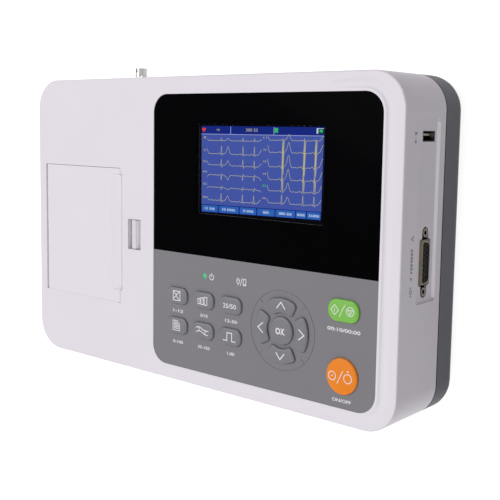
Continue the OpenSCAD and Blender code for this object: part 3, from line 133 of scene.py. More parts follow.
@dataclass(frozen=True)
class Finish:
    """A finish as one procedural material: slow clouding of its colour over a fine surface grain."""

    name: str
    colour: str
    tint: str
    roughness: float
    grain_mm: float
    depth_mm: float
    cloud_mm: float = 45.0
    spread: float = 0.08
    along: Along = Along.NONE

    def material(self) -> bpy.types.Material:
        """Returns the finish's material, made the first time that it is asked for."""
        found = bpy.data.materials.get(self.name)
        if found is not None:
            return found
        made = bpy.data.materials.new(self.name)
        made.use_nodes = True
        tree = made.node_tree
        tree.nodes.clear()
        place = add_node(tree, "ShaderNodeTexCoord").outputs["Object"]
        shader = add_node(tree, "ShaderNodeBsdfPrincipled")
        add_node(tree, "ShaderNodeOutputMaterial", links={"Surface": shader.outputs["BSDF"]})
        made.diffuse_color = linear(self.colour)
        self.dress(tree, shader, place)
        for socket, value in self.constants().items():
            shader.inputs[socket].default_value = value
        return made

    def stretched(self, tree: Tree, place: Socket) -> Socket:
        """Squeezes coordinates so that a pattern runs along the finish's direction.

        Args:
            tree: Node tree of the material.
            place: Object coordinates.

        Returns:
            The squeezed coordinates, or the same ones where the finish has no direction.
        """
        if self.along is Along.NONE:
            return place
        squeeze = add_node(tree, "ShaderNodeMapping", {"Scale": self.along.value}, {"Vector": place})
        return squeeze.outputs["Vector"]

    def dress(self, tree: Tree, shader: Node, place: Socket) -> None:
        """Wires colour, roughness and bump.

        Args:
            tree: Node tree of the material.
            shader: Its Principled shader.
            place: Object coordinates, in metres.
        """
        where = self.stretched(tree, place)
        cloud = add_node(tree, "ShaderNodeTexNoise", {"Scale": 1 / (self.cloud_mm * MM), "Detail": 3.0},
                         {"Vector": place})
        grain = add_node(tree, "ShaderNodeTexNoise",
                         {"Scale": 1 / (self.grain_mm * MM), "Detail": 2.0, "Roughness": 0.6}, {"Vector": where})
        paint = add_node(tree, "ShaderNodeMix",
                         {"data_type": "RGBA", 6: linear(self.colour), 7: linear(self.tint)},
                         {0: self.patch(tree, cloud.outputs["Fac"], place)})
        gloss = add_node(tree, "ShaderNodeMapRange",
                         {"To Min": self.roughness - self.spread, "To Max": self.roughness + self.spread},
                         {"Value": cloud.outputs["Fac"]})
        bump = add_node(tree, "ShaderNodeBump", {"Strength": 0.6, "Distance": self.depth_mm * MM},
                        {"Height": grain.outputs["Fac"]})
        tree.links.new(paint.outputs[2], shader.inputs["Base Color"])
        tree.links.new(gloss.outputs["Result"], shader.inputs["Roughness"])
        tree.links.new(bump.outputs["Normal"], shader.inputs["Normal"])

    def patch(self, tree: Tree, cloud: Socket, place: Socket) -> Socket:
        """Returns the factor between the two colours: by default the slow clouding itself."""
        return cloud

    def constants(self) -> dict[str, float]:
        """Returns the shader's fixed values by socket name."""
        return {}


@dataclass(frozen=True)
class MouldedPlastic(Finish):
    """Injection-moulded ABS, PBT or acetal with the even grain of its spark-eroded tool."""

    ior: float = 1.54
    shine: float = 0.35

    def constants(self) -> dict[str, float]:
        """Returns the plain gloss of the polymer."""
        return {"IOR": self.ior, "Specular IOR Level": self.shine}


@dataclass(frozen=True)
class SoftRubber(Finish):
    """Cured silicone or nitrile rubber: matt, with a dusty bloom that catches light at a grazing angle."""

    def constants(self) -> dict[str, float]:
        """Returns a low gloss and the faint bloom of rubber."""
        return {"IOR": 1.5, "Specular IOR Level": 0.25, "Sheen Weight": 0.12, "Sheen Roughness": 0.6}


@dataclass(frozen=True)
class WorkedMetal(Finish):
    """Drawn, turned, stamped or plated metal, with fine marks along the way that it was worked."""

    def constants(self) -> dict[str, float]:
        """Returns a full metal, at the shader's own index of refraction."""
        return {"Metallic": 1.0}


@dataclass(frozen=True)
class GlossSheet(Finish):
    """Cast acrylic, printed black on its rear: a deep gloss with a trace of waviness and of fingers' haze."""

    def constants(self) -> dict[str, float]:
        """Returns a mirror as faint as an anti-glare coat leaves it."""
        return {"IOR": 1.49, "Specular IOR Level": 0.004}


@dataclass(frozen=True)
class ClearSheet(Finish):
    """The unprinted middle of the acrylic sheet: an anti-glare coat leaves it only a breath of grey."""

    alpha: float = 0.06

    def constants(self) -> dict[str, float]:
        """Returns a sheet that lets nearly all light through."""
        return {"IOR": 1.49, "Specular IOR Level": 0.0, "Alpha": self.alpha}


@dataclass(frozen=True)
class ScreenInk(Finish):
    """Screen-printed ink: the cloth's mesh leaves a fine weave of thicker and thinner dots."""

    mesh_mm: float = 0.4

    def patch(self, tree: Tree, cloud: Socket, place: Socket) -> Socket:
        """Returns the print's mesh, drawn four times as coarse as a real one so that it shows."""
        dots = add_node(tree, "ShaderNodeTexVoronoi", {"Scale": 1 / (self.mesh_mm * MM), "Randomness": 0.15},
                        {"Vector": place})
        return dots.outputs["Distance"]


@dataclass(frozen=True)
class LitPicture(Finish):
    """Part of a lit liquid-crystal picture: its rows of cells and the slightly uneven lamp behind them."""

    power: float = 1.0
    pitch_mm: float = 0.35

    def dress(self, tree: Tree, shader: Node, place: Socket) -> None:
        """Wires the light of the picture; the rows of cells are drawn at twice their real spacing."""
        rows = add_node(tree, "ShaderNodeTexWave",
                        {"wave_type": "BANDS", "bands_direction": "Y", "Scale": WAVE_SCALE / (self.pitch_mm * MM),
                         "Distortion": 0.0}, {"Vector": place})
        lamp = add_node(tree, "ShaderNodeTexNoise", {"Scale": 1 / (self.cloud_mm * MM), "Detail": 1.0},
                        {"Vector": place})
        share = add_node(tree, "ShaderNodeMath", {"operation": "MULTIPLY_ADD", 1: 0.25},
                         {0: rows.outputs["Fac"], 2: lamp.outputs["Fac"]})
        picture = add_node(tree, "ShaderNodeMix",
                           {"data_type": "RGBA", 6: linear(self.colour), 7: linear(self.tint)},
                           {0: share.outputs["Value"]})
        tree.links.new(picture.outputs[2], shader.inputs["Emission Color"])
        shader.inputs["Base Color"].default_value = linear("#050506")

    def constants(self) -> dict[str, float]:
        """Returns the picture's power and a surface without a mirror."""
        return {"Emission Strength": self.power, "Roughness": self.roughness, "Specular IOR Level": 0.0}


@dataclass(frozen=True)
class BoardLaminate(Finish):
    """Glass-epoxy laminate under green solder resist, with the paler lines of the copper under it."""

    track_mm: float = 2.4

    def patch(self, tree: Tree, cloud: Socket, place: Socket) -> Socket:
        """Returns the copper tracks: the mortar of a brick pattern, broken up by the clouding."""
        tracks = add_node(tree, "ShaderNodeTexBrick",
                          {"Scale": 1 / (self.track_mm * MM), "Mortar Size": 0.06, "Brick Width": 3.5,
                           "Row Height": 0.8, "Color1": (0, 0, 0, 1), "Color2": (0, 0, 0, 1),
                           "Mortar": (1, 1, 1, 1)}, {"Vector": place})
        broken = add_node(tree, "ShaderNodeMath", {"operation": "MULTIPLY"},
                          {0: tracks.outputs["Fac"], 1: cloud})
        return broken.outputs["Value"]


@dataclass(frozen=True)
class BandedFilm(Finish):
    """Film or paper with even bands across it: a flat cable's conductors, or the layers of a wound roll."""

    band_mm: float = 1.0
    rings: bool = False

    def patch(self, tree: Tree, cloud: Socket, place: Socket) -> Socket:
        """Returns the bands, straight across X or as rings round the roll's own middle."""
        if self.rings:
            low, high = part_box("paper_roll")
            centred = {"vector_type": "POINT", "Location": tuple(-(low + high) / 2)}
            place = add_node(tree, "ShaderNodeMapping", centred, {"Vector": place}).outputs["Vector"]
        bands = add_node(tree, "ShaderNodeTexWave",
                         {"wave_type": "RINGS" if self.rings else "BANDS", "rings_direction": "Y",
                          "bands_direction": "X", "Scale": WAVE_SCALE / (self.band_mm * MM), "Distortion": 0.4},
                         {"Vector": place})
        return bands.outputs["Fac"]


# Textured ABS of the upper half: a cool white with the soft, even sheen of a fine eroded grain
CASE_IVORY = MouldedPlastic("abs_case_ivory", "#E6E0E7", "#E1DBE2", 0.46, 0.55, 0.012, 60.0, 0.05)
# The same ABS in the door, from another shot of the tool and so a breath lighter
DOOR_IVORY = MouldedPlastic("abs_door_ivory", "#E7E1E8", "#E2DCE3", 0.45, 0.55, 0.012, 50.0, 0.05)
# The latch is polished by fingers, so it is smoother than the door
LATCH_IVORY = MouldedPlastic("abs_latch_polished", "#DDDAE0", "#D6D3D9", 0.36, 0.8, 0.006, 14.0, 0.06)
# The bevel of the side recess: painted highlight, near-white and lighter than the case, and smoother and shinier than
# the matt walls
BEVEL_HIGHLIGHT_IVORY = MouldedPlastic("abs_bevel_painted_highlight", "#FBF9FC", "#F5F2F7", 0.26, 0.9, 0.004, 20.0, 0.04, shine=0.9)
# Slate ABS of the lower half, with a coarser grain that hides scuffs from the table
CASE_SLATE = MouldedPlastic("abs_case_slate", "#43424B", "#494851", 0.5, 0.7, 0.03, 30.0, 0.07)
# Polyester keypad overlay, printed on its rear: a velvet film over an even grey
OVERLAY_FILM = MouldedPlastic("polyester_overlay_velvet", "#747276", "#78767A", 0.5, 0.35, 0.008, 40.0, 0.05,
                              ior=1.58)
# Keys of soft-touch plastic in the overlay's grey: their crowns shade gently
KEY_GREY = MouldedPlastic("soft_touch_key_grey", "#757378", "#79787C", 0.44, 0.4, 0.006, 12.0, 0.05)
# Start key: bright green, silk finish
KEY_GREEN = MouldedPlastic("silk_key_green", "#78BA4A", "#80C153", 0.4, 0.4, 0.005, 12.0, 0.05, shine=0.25)
# Power key: orange, silk finish
KEY_ORANGE = MouldedPlastic("silk_key_orange", "#EB8018", "#EF8A26", 0.4, 0.4, 0.005, 12.0, 0.05, shine=0.2)
# Back-printed black acrylic: mirror-black with a trace of haze
WINDOW_BLACK = GlossSheet("acrylic_back_printed_black", "#040405", "#060608", 0.1, 9.0, 0.01, 60.0, 0.04)
# Clear middle of the same sheet
WINDOW_CLEAR = ClearSheet("acrylic_clear_pane", "#0A0B12", "#101218", 0.08, 9.0, 0.008, 60.0, 0.03)
# Black foam gasket round the display
GASKET_FOAM = SoftRubber("cellular_rubber_gasket", "#0E0E10", "#161619", 0.85, 0.6, 0.05, 8.0, 0.08)
# Near-black cord between the case halves: painted shade, so that the seam reads as one dark line
SEAM_SHADE_CORD = MouldedPlastic("seam_cord_painted_shade", "#060607", "#0B0B0C", 0.9, 0.5, 0.01, 8.0, 0.05, shine=0.0)
# Moulded rubber of the feet: dull, slightly dusty
FOOT_RUBBER = SoftRubber("moulded_foot_rubber", "#27272A", "#323236", 0.78, 0.8, 0.04, 6.0, 0.1)
# Ground rubber of the platen: fine rings from the grinding wheel
PLATEN_RUBBER = SoftRubber("ground_platen_rubber", "#2A2A2D", "#36363A", 0.7, 0.5, 0.02, 5.0, 0.08, Along.X)
# Silicone key mat: translucent grey-white with a waxy touch
MAT_SILICONE = SoftRubber("silicone_key_mat", "#C8C6C0", "#D2D0CA", 0.6, 0.5, 0.02, 10.0, 0.08)
# Zinc-plated steel screws: bright with a bluish cloud
ZINC_STEEL = WorkedMetal("zinc_plated_steel", "#B9BDC4", "#A7ACB4", 0.3, 0.5, 0.01, 2.5, 0.1)
# Ground steel pins and shafts
GROUND_STEEL = WorkedMetal("ground_steel_rod", "#BCBEC2", "#AEB1B6", 0.22, 0.35, 0.006, 6.0, 0.06, Along.X)
# Drawn spring wire
SPRING_STEEL = WorkedMetal("drawn_spring_wire", "#A9ABB0", "#8F9298", 0.3, 0.4, 0.006, 3.0, 0.08)
# Galvanised sheet: large soft spangles
SHEET_STEEL = WorkedMetal("galvanised_sheet", "#A5A8AD", "#90949A", 0.42, 1.2, 0.01, 5.0, 0.12)
# Spring tongue of the data port's shell, rubbed bright by plugs
RUBBED_NICKEL = WorkedMetal("rubbed_nickel", "#B7B2A8", "#9C978C", 0.34, 0.3, 0.006, 2.0, 0.08)
# Tin-plated shell of the lead socket: warm grey, a little dull from handling
TINNED_SHELL = WorkedMetal("tin_plated_shell", "#8A8274", "#69614F", 0.38, 0.5, 0.01, 2.2, 0.12)
# Skirt of the same shell: the same tin, painted darker as shade
SKIRT_SHADED_TIN = WorkedMetal("tin_skirt_painted_shade", "#6F6757", "#4A443A", 0.4, 0.5, 0.01, 2.0, 0.12)
# Nickel of the jack screws, much darker than plain nickel and mottled at random with a darker brown
NICKEL = WorkedMetal("dark_mottled_nickel", "#7B7366", "#48423A", 0.34, 0.3, 0.01, 1.2, 0.1)
# Shell of the data port: nickel painted nearly black as the shade inside the port
PORT_SHELL_SHADED = WorkedMetal("port_shell_painted_shade", "#3E3B38", "#2C2A28", 0.42, 0.3, 0.006, 2.0, 0.1, Along.X)
# Turned nickel of the earth post: tool marks run round it
TURNED_NICKEL = WorkedMetal("turned_nickel_post", "#C4C3C0", "#A6A5A2", 0.26, 0.35, 0.01, 2.5, 0.08, Along.X)
# Cut brass pinion
CUT_BRASS = WorkedMetal("cut_brass", "#C9A24C", "#B48C3A", 0.3, 0.3, 0.008, 2.0, 0.08, Along.Y)
# Extruded aluminium heat sink
SINK_ALLOY = WorkedMetal("extruded_aluminium", "#B3B6BB", "#A2A6AC", 0.38, 0.5, 0.01, 4.0, 0.08, Along.Y)
# Deep-drawn motor can
MOTOR_CAN = WorkedMetal("drawn_motor_can", "#9A9DA3", "#84888F", 0.34, 0.6, 0.01, 4.0, 0.1, Along.Y)
# Tinned brass blades of the mains inlet
BLADE_BRASS = WorkedMetal("tinned_brass_blade", "#CBB77C", "#B9A468", 0.3, 0.4, 0.008, 2.0, 0.08, Along.Y)
# Acetal gears: milky, waxy
GEAR_ACETAL = MouldedPlastic("moulded_acetal", "#EDEBE4", "#E2DFD6", 0.42, 0.5, 0.008, 3.0, 0.06, ior=1.48)
# Glass-filled polyester of the sockets: black with a faint swirl of fibre
SOCKET_PBT = MouldedPlastic("glass_filled_pbt_black", "#101012", "#191A1C", 0.6, 0.5, 0.02, 2.5, 0.1, shine=0.08)
# Grey tongue of the data port
TONGUE_PBT = MouldedPlastic("pbt_tongue_grey", "#D6D6D2", "#C9C9C5", 0.45, 0.4, 0.01, 2.0, 0.06)
# Polystyrene paper well
WELL_STYRENE = MouldedPlastic("polystyrene_well", "#D4D1D6", "#CBC8CE", 0.4, 0.8, 0.012, 20.0, 0.06)
# Spindle and similar small black mouldings
SPINDLE_BLACK = MouldedPlastic("abs_spindle_black", "#33343A", "#3C3D43", 0.42, 0.5, 0.01, 6.0, 0.06)
# Moulding compound of chips: matt black epoxy with fine filler
CHIP_EPOXY = MouldedPlastic("chip_epoxy", "#212226", "#2B2C31", 0.6, 0.3, 0.015, 1.6, 0.08)
# Varnished transformer, capacitors' sleeves and the like
POWER_VARNISH = MouldedPlastic("varnished_windings", "#3A3B40", "#54432E", 0.4, 0.6, 0.03, 3.0, 0.1)
# Glazed alumina of the print head
HEAD_CERAMIC = MouldedPlastic("glazed_alumina", "#5C4B3B", "#6B5947", 0.2, 0.6, 0.005, 4.0, 0.06, ior=1.76)
# Heat-shrunk sleeve of the battery: glossy, tight creases
BATTERY_SLEEVE = MouldedPlastic("shrunk_pvc_sleeve", "#3B5883", "#32507A", 0.32, 6.0, 0.12, 18.0, 0.06)
# Green solder resist of the boards
BOARD_GREEN = BoardLaminate("solder_resist_green", "#24593A", "#3F8A5C", 0.4, 0.6, 0.01, 9.0, 0.08)
# Polyester ribbon with tinned conductors
RIBBON = BandedFilm("flat_cable_film", "#D9CBA2", "#A8A49A", 0.4, 0.6, 0.01, 6.0, 0.06, band_mm=1.0)
# Thermal paper: smooth coated face, layers showing on the roll's ends
THERMAL_PAPER = BandedFilm("thermal_paper", "#F5F4F0", "#E4E2DC", 0.55, 0.4, 0.01, 10.0, 0.06, band_mm=0.5,
                           rings=True)
# White ink on the overlay and keys
INK_WHITE = ScreenInk("screen_ink_white", "#EDEBEF", "#DEDCE1", 0.5, 0.4, 0.004, 6.0, 0.05)
# Thinner white ink of the numbers under the keys
INK_PALE = ScreenInk("screen_ink_pale", "#E2E0E5", "#D4D2D7", 0.5, 0.4, 0.004, 6.0, 0.05)
# Dark grey pad-printed marks on the side
INK_DARK = ScreenInk("pad_ink_dark", "#6A686D", "#767479", 0.55, 0.4, 0.004, 6.0, 0.05)
# Lens of the power light
LAMP_GREEN = LitPicture("light_pipe_green", "#4FC484", "#86DDAF", 0.3, 1.0, 0.01, 1.6, power=0.78)
# Liquid-crystal colours: field, title bar, soft keys, traces and marks
(LCD_FIELD, LCD_TITLE, LCD_SOFT, LCD_RULE, LCD_TRACE, LCD_TRACE_TALL, LCD_PALE, LCD_TAN, LCD_RED, LCD_GREEN,
 LCD_DEEP) = (
    LitPicture(f"lcd_{name}", colour, tint, 0.35, 1.0, 0.01, cloud_mm) for name, colour, tint, cloud_mm in (
        ("field_blue", "#4A5DAE", "#4354A7", 34.0), ("title_navy", "#142478", "#182B84", 26.0),
        ("soft_key_blue", "#2A58AC", "#356CC0", 6.0), ("rule_pale", "#8E9ADA", "#A9B2E6", 6.0),
        ("trace_khaki", "#A5A596", "#B4B29A", 6.0), ("trace_yellow", "#BDB76E", "#CFC850", 6.0),
        ("figures_pale", "#B9CCEE", "#CFDDF6", 6.0), ("figures_grey", "#9C9C9C", "#ABA89C", 6.0),
        ("heart_red", "#E0322C", "#E8483A", 6.0), ("mark_green", "#2FAE62", "#3CC274", 6.0),
        ("deep_green", "#14351F", "#1B4428", 6.0)))
# Border of the cell outside its lit area
LCD_BORDER = MouldedPlastic("lcd_border_glass", "#08080A", "#0C0C0F", 0.3, 0.6, 0.002, 10.0, 0.05, shine=0.01)

CAD_FINISHES: dict[str, Finish] = {
    "upper_case": CASE_IVORY, "lower_case": CASE_SLATE, "battery_cover": CASE_SLATE, "feet": FOOT_RUBBER,
    "case_screws": ZINC_STEEL, "cover_screws": ZINC_STEEL, "board_screws": ZINC_STEEL,
    "keypad_overlay": OVERLAY_FILM, "display_gasket": GASKET_FOAM, "display_frame": SHEET_STEEL,
    "keypad_mat": MAT_SILICONE, "key_board": BOARD_GREEN, "main_board": BOARD_GREEN, "power_board": BOARD_GREEN,
    "paper_door": DOOR_IVORY, "door_hinge_pins": GROUND_STEEL, "door_latch": LATCH_IVORY,
    "head_springs": SPRING_STEEL, "platen_shaft": GROUND_STEEL,
    "platen_rubber": PLATEN_RUBBER, "platen_gear": GEAR_ACETAL, "idler_gear": GEAR_ACETAL,
    "idler_stud": GROUND_STEEL, "paper_motor": MOTOR_CAN, "motor_pinion": CUT_BRASS,
    "printer_chassis": SHEET_STEEL, "print_head": HEAD_CERAMIC, "head_heat_sink": SINK_ALLOY,
    "paper_well": WELL_STYRENE, "paper_spindle": SPINDLE_BLACK, "paper_roll": THERMAL_PAPER,
    "board_components": CHIP_EPOXY, "power_components": POWER_VARNISH, "battery_pack": BATTERY_SLEEVE,
    "lead_socket_shell": TINNED_SHELL, "lead_socket_insert": SOCKET_PBT, "lead_socket_jackscrews": NICKEL,
    "usb_shell": PORT_SHELL_SHADED, "mains_inlet": SOCKET_PBT, "inlet_blades": BLADE_BRASS,
    "earth_post": TURNED_NICKEL, "flat_cables": RIBBON,
}


# ------------------------------------------------------------------------------------------- shapes

def flat(level: float) -> Lift:
    """Returns a lift that is the same height everywhere."""
    return lambda x, y: np.full(np.shape(x), level)


def arc(centre: Pair, radius: float, start: float, end: float, steps: int,
        hollow: bool = False) -> tuple[np.ndarray, np.ndarray]:
    """Points on an arc and the outline's outward normals there.

    A point is the centre plus the radius times (cos a, sin a), with a going evenly from start to end. The
    normal is that direction, or its opposite on a hollow arc.

    Args:
        centre: Middle of the arc.
        radius: Radius of the arc.
        start: First angle in degrees.
        end: Last angle in degrees.
        steps: Number of points.
        hollow: True where the outline curves inwards.

    Returns:
        Points and normals, each as an array of two columns.
    """
    angle = np.radians(np.linspace(start, end, steps))
    way = np.stack([np.cos(angle), np.sin(angle)], axis=1)
    return np.array(centre) + radius * way, (-way if hollow else way)


def join(arcs: list[tuple[np.ndarray, np.ndarray]]) -> tuple[np.ndarray, np.ndarray]:
    """Joins arcs to one closed outline; straight runs lie between the ends of neighbours."""
    return np.concatenate([a[0] for a in arcs]), np.concatenate([a[1] for a in arcs])


def round_rect(width: float, depth: float, radius: float, steps: int = 10) -> tuple[np.ndarray, np.ndarray]:
    """Outline and normals of a rectangle with round corners, centred on the origin, anticlockwise.

    Args:
        width: Size along X.
        depth: Size along Y.
        radius: Radius of the corners.
        steps: Number of points on each corner.

    Returns:
        Points and normals.
    """
    x, y = width / 2 - radius, depth / 2 - radius
    corners = [((x, -y), -90), ((x, y), 0), ((-x, y), 90), ((-x, -y), 180)]
    return join([arc(c, radius, a, a + 90, steps) for c, a in corners])


def disc(radius: float, steps: int = 64) -> tuple[np.ndarray, np.ndarray]:
    """Outline and normals of a circle round the origin, anticlockwise."""
    return arc((0, 0), radius, 0, 360 * (1 - 1 / steps), steps)


def ribbon(path: np.ndarray, width: float, closed: bool = False) -> tuple[np.ndarray, np.ndarray]:
    """Left and right edges of a band of even width along a flat path.

    Each edge point is the path point plus or minus half the width along the mean normal of its two
    neighbouring runs, stretched by one over the cosine of half the turn so that the runs keep their width.

    Args:
        path: Points of the path.
        width: Width of the band.
        closed: True where the path ends where it starts.

    Returns:
        The left edge and the right edge.
    """
    before = np.roll(path, 1, axis=0) if closed else np.vstack([2 * path[:1] - path[1:2], path[:-1]])
    after = np.roll(path, -1, axis=0) if closed else np.vstack([path[1:], 2 * path[-1:] - path[-2:-1]])
    first = path - before
    second = after - path
    first = first / np.maximum(np.linalg.norm(first, axis=1, keepdims=True), 1e-9)
    second = second / np.maximum(np.linalg.norm(second, axis=1, keepdims=True), 1e-9)
    mean = first + second
    mean = mean / np.maximum(np.linalg.norm(mean, axis=1, keepdims=True), 1e-9)
    normal = np.stack([-mean[:, 1], mean[:, 0]], axis=1)
    stretch = 1 / np.maximum((mean * first).sum(axis=1, keepdims=True), 0.4)
    return path + normal * stretch * width / 2, path - normal * stretch * width / 2


def at_height(points: np.ndarray, height: float) -> np.ndarray:
    """Returns flat points with one height as their third column."""
    return np.column_stack([points, np.full(len(points), height)])


def heart_curve(steps: int) -> np.ndarray:
    """Points of a heart, anticlockwise and about 32 units wide.

    With the angle t going round once, x is 16 times the cube of sin t, and y is 13 cos t less 5 cos 2t, 2 cos 3t
    and cos 4t.

    Args:
        steps: Number of points.

    Returns:
        Points of two columns.
    """
    t = np.linspace(0, 2 * math.pi, steps, endpoint=False)
    y = 13 * np.cos(t) - 5 * np.cos(2 * t) - 2 * np.cos(3 * t) - np.cos(4 * t)
    return np.column_stack([16 * np.sin(t) ** 3, y])[::-1]


class Crease(Enum):
    """Angle in degrees above which an edge of a piece stays sharp."""

    BEVEL = 20.0
    SHEET = 25.0
    PRINT = 30.0
    MOULDED = 40.0
    LENS = 50.0
    ROUND = 60.0


class Shape:
    """Vertices and faces of one piece, gathered as arrays in millimetres."""

    def __init__(self) -> None:
        """Starts an empty shape."""
        self.points: list[np.ndarray] = []
        self.faces: list[np.ndarray] = []
        self.count = 0

    def add(self, points: np.ndarray, faces: list[np.ndarray]) -> None:
        """Adds points and the faces between them.

        Args:
            points: Vertices, three columns.
            faces: Arrays of vertex numbers, one row per face, counted from this call's first point.
        """
        self.points.append(np.asarray(points, float).reshape(-1, 3))
        self.faces.extend(np.asarray(f, int) + self.count for f in faces)
        self.count += len(self.points[-1])

    def tube(self, rings: np.ndarray, start: np.ndarray | None = None, end: np.ndarray | None = None) -> None:
        """Adds a skin through closed rings, each with the same number of points, with poles at its ends.

        Args:
            rings: Array of rings, points and three coordinates; anticlockwise as seen from the end.
            start: Pole before the first ring, or None to leave it open.
            end: Pole after the last ring, or None to leave it open.
        """
        m, n, _ = rings.shape
        index = np.arange(m * n).reshape(m, n)
        right = np.roll(index, -1, axis=1)
        quads = np.stack([index[:-1], right[:-1], right[1:], index[1:]], axis=-1).reshape(-1, 4)
        points = [rings.reshape(-1, 3)]
        faces = [quads]
        count = m * n
        for pole, ring, neighbour in ((start, right[0], index[0]), (end, index[-1], right[-1])):
            if pole is not None:
                points.append(np.asarray(pole, float).reshape(1, 3))
                faces.append(np.stack([np.full(n, count), ring, neighbour], axis=1))
                count += 1
        self.add(np.vstack(points), faces)

    def loft(self, sections: list[tuple[np.ndarray, float]], middle: np.ndarray | None = None) -> None:
        """Adds a skin through flat outlines at their heights.

        Args:
            sections: Outlines with as many points each, and their heights, in order.
            middle: Place of the poles at both ends, or None where the skin returns to its first outline.
        """
        rings = [at_height(points, height) for points, height in sections]
        if middle is None:
            self.tube(np.array(rings + rings[:1]))
        else:
            self.tube(np.array(rings), np.append(middle, sections[0][1]), np.append(middle, sections[-1][1]))

    def plate(self, size: Pair, corner: float, at: Pair, floor: float,
              thick: float) -> None:
        """Adds a flat plate with round corners.

        Args:
            size: Width and depth of the plate.
            corner: Radius of its corners.
            at: Its middle.
            floor: Height of its underside.
            thick: Its thickness.
        """
        self.slab(round_rect(*size, corner, 3)[0] + at, flat(floor), thick)

    def slab(self, outline: np.ndarray, lift: Lift, thick: float) -> None:
        """Adds a thin plate that follows the ground.

        Args:
            outline: Its outline, anticlockwise.
            lift: Height of its underside.
            thick: Its thickness.
        """
        n = len(outline)
        low = np.column_stack([outline, lift(*outline.T)])
        high = low + [0, 0, thick]
        index = np.arange(n)
        right = np.roll(index, -1)
        walls = np.stack([index, right, right + n, index + n], axis=1)
        self.add(np.vstack([low, high]), [walls, index[::-1][None], (index + n)[None]])

    def stroke(self, path: list | np.ndarray, width: float, lift: Lift, thick: float,
               closed: bool = False) -> None:
        """Adds a stroke: a band along a flat path with a rectangular section that follows the lift.

        Args:
            path: Points of the path.
            width: Width of the stroke.
            lift: Height of the ground under the stroke.
            thick: Height of the stroke above the ground.
            closed: True where the path ends where it starts.
        """
        left, right = ribbon(np.asarray(path, float), width, closed)
        low_l, low_r = (np.column_stack([edge, lift(*edge.T)]) for edge in (left, right))
        section = np.stack([low_l, low_r, low_r + [0, 0, thick], low_l + [0, 0, thick]], axis=1)
        n = len(section)
        index = np.arange(4 * n).reshape(n, 4)
        ahead = np.roll(index, -1, axis=0) if closed else index[1:]
        behind = index if closed else index[:-1]
        turn = np.roll(np.arange(4), -1)
        quads = np.stack([behind, ahead, ahead[:, turn], behind[:, turn]], axis=-1).reshape(-1, 4)
        faces = [quads] if closed else [quads, index[:1], index[-1:, ::-1]]
        self.add(section.reshape(-1, 3), faces)

    def figures(self, text: str, size: Pair, at: Pair, lift: Lift, thick: float,
                bold: float = 0.0) -> None:
        """Adds plain figures, centred on a point and draped over the ground.

        Args:
            text: The figures.
            size: Their width and height.
            at: Their middle.
            lift: Height of the ground.
            thick: Height of the figures above the ground.
            bold: Extra width of their strokes, as a share of the type size.
        """
        curve = bpy.data.curves.new("figures", "FONT")
        curve.body = text
        curve.extrude = 0.5
        curve.offset = bold
        curve.resolution_u = 3
        holder = bpy.data.objects.new("figures", curve)
        bpy.context.scene.collection.objects.link(holder)
        bpy.context.view_layer.update()
        mesh = bpy.data.meshes.new_from_object(holder.evaluated_get(bpy.context.evaluated_depsgraph_get()))
        mesh.calc_loop_triangles()
        points = np.zeros(len(mesh.vertices) * 3)
        mesh.vertices.foreach_get("co", points)
        faces = np.zeros(len(mesh.loop_triangles) * 3, int)
        mesh.loop_triangles.foreach_get("vertices", faces)
        bpy.data.objects.remove(holder)
        bpy.data.curves.remove(curve)
        bpy.data.meshes.remove(mesh)
        points = points.reshape(-1, 3)
        low, high = points.min(axis=0), points.max(axis=0)
        flat_points = (points[:, :2] - (low + high)[:2] / 2) / (high - low)[:2] * size + at
        x, y = flat_points.T
        z = lift(x, y) + np.where(points[:, 2] > 0, thick, 0.0)
        self.add(np.column_stack([x, y, z]), [faces.reshape(-1, 3)])

    def turn(self, basis: tuple[tuple[int, int, int], ...], origin: tuple[float, float, float]) -> None:
        """Lays the shape's X, Y and Z along three directions, from an origin in millimetres."""
        self.points = [p @ np.array(basis, float) + np.array(origin, float) for p in self.points]

    def take(self, other: "Shape") -> None:
        """Adds another shape's points and faces."""
        self.points += other.points
        self.faces += [f + self.count for f in other.faces]
        self.count += other.count

    def build(self, name: str, finish: Finish, slot: str, crease: Crease,
              body: str = "machine") -> bpy.types.Object:
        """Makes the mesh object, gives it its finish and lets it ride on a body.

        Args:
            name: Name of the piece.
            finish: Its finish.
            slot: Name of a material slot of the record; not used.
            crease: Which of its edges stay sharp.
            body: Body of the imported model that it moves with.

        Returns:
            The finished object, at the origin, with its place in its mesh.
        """
        points = np.concatenate(self.points) * MM
        sizes = np.concatenate([np.full(len(f), f.shape[1]) for f in self.faces])
        loops = np.concatenate([f.ravel() for f in self.faces])
        mesh = bpy.data.meshes.new(name)
        mesh.vertices.add(len(points))
        mesh.vertices.foreach_set("co", points.astype(np.float32).ravel())
        mesh.loops.add(len(loops))
        mesh.loops.foreach_set("vertex_index", loops.astype(np.int32))
        mesh.polygons.add(len(sizes))
        mesh.polygons.foreach_set("loop_start", np.concatenate([[0], np.cumsum(sizes)[:-1]]).astype(np.int32))
        mesh.update(calc_edges=True)
        mesh.validate()
        mesh.polygons.foreach_set("use_smooth", np.ones(len(mesh.polygons), bool))
        mesh.set_sharp_from_angle(angle=math.radians(crease.value))
        mesh.materials.append(finish.material())
        piece = bpy.data.objects.new(name, mesh)
        bpy.context.scene.collection.objects.link(piece)
        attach(piece, body)
        LOG.info("piece %s on %s: %d faces, %s", name, body, len(mesh.polygons), finish.name)
        return piece


def box_mm(node: str) -> tuple[np.ndarray, np.ndarray]:
    """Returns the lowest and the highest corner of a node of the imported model, in millimetres."""
    low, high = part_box(node)
    return np.array(low) / MM, np.array(high) / MM


def middle_mm(node: str) -> np.ndarray:
    """Returns the middle of a node's box, in millimetres."""
    low, high = box_mm(node)
    return (low + high) / 2


# -------------------------------------------------------------------------------------------- keypad

class KeyKind(Enum):
    """Outline of a key."""

    PAD = "pad"
    DISC = "disc"
    ARROW = "arrow"


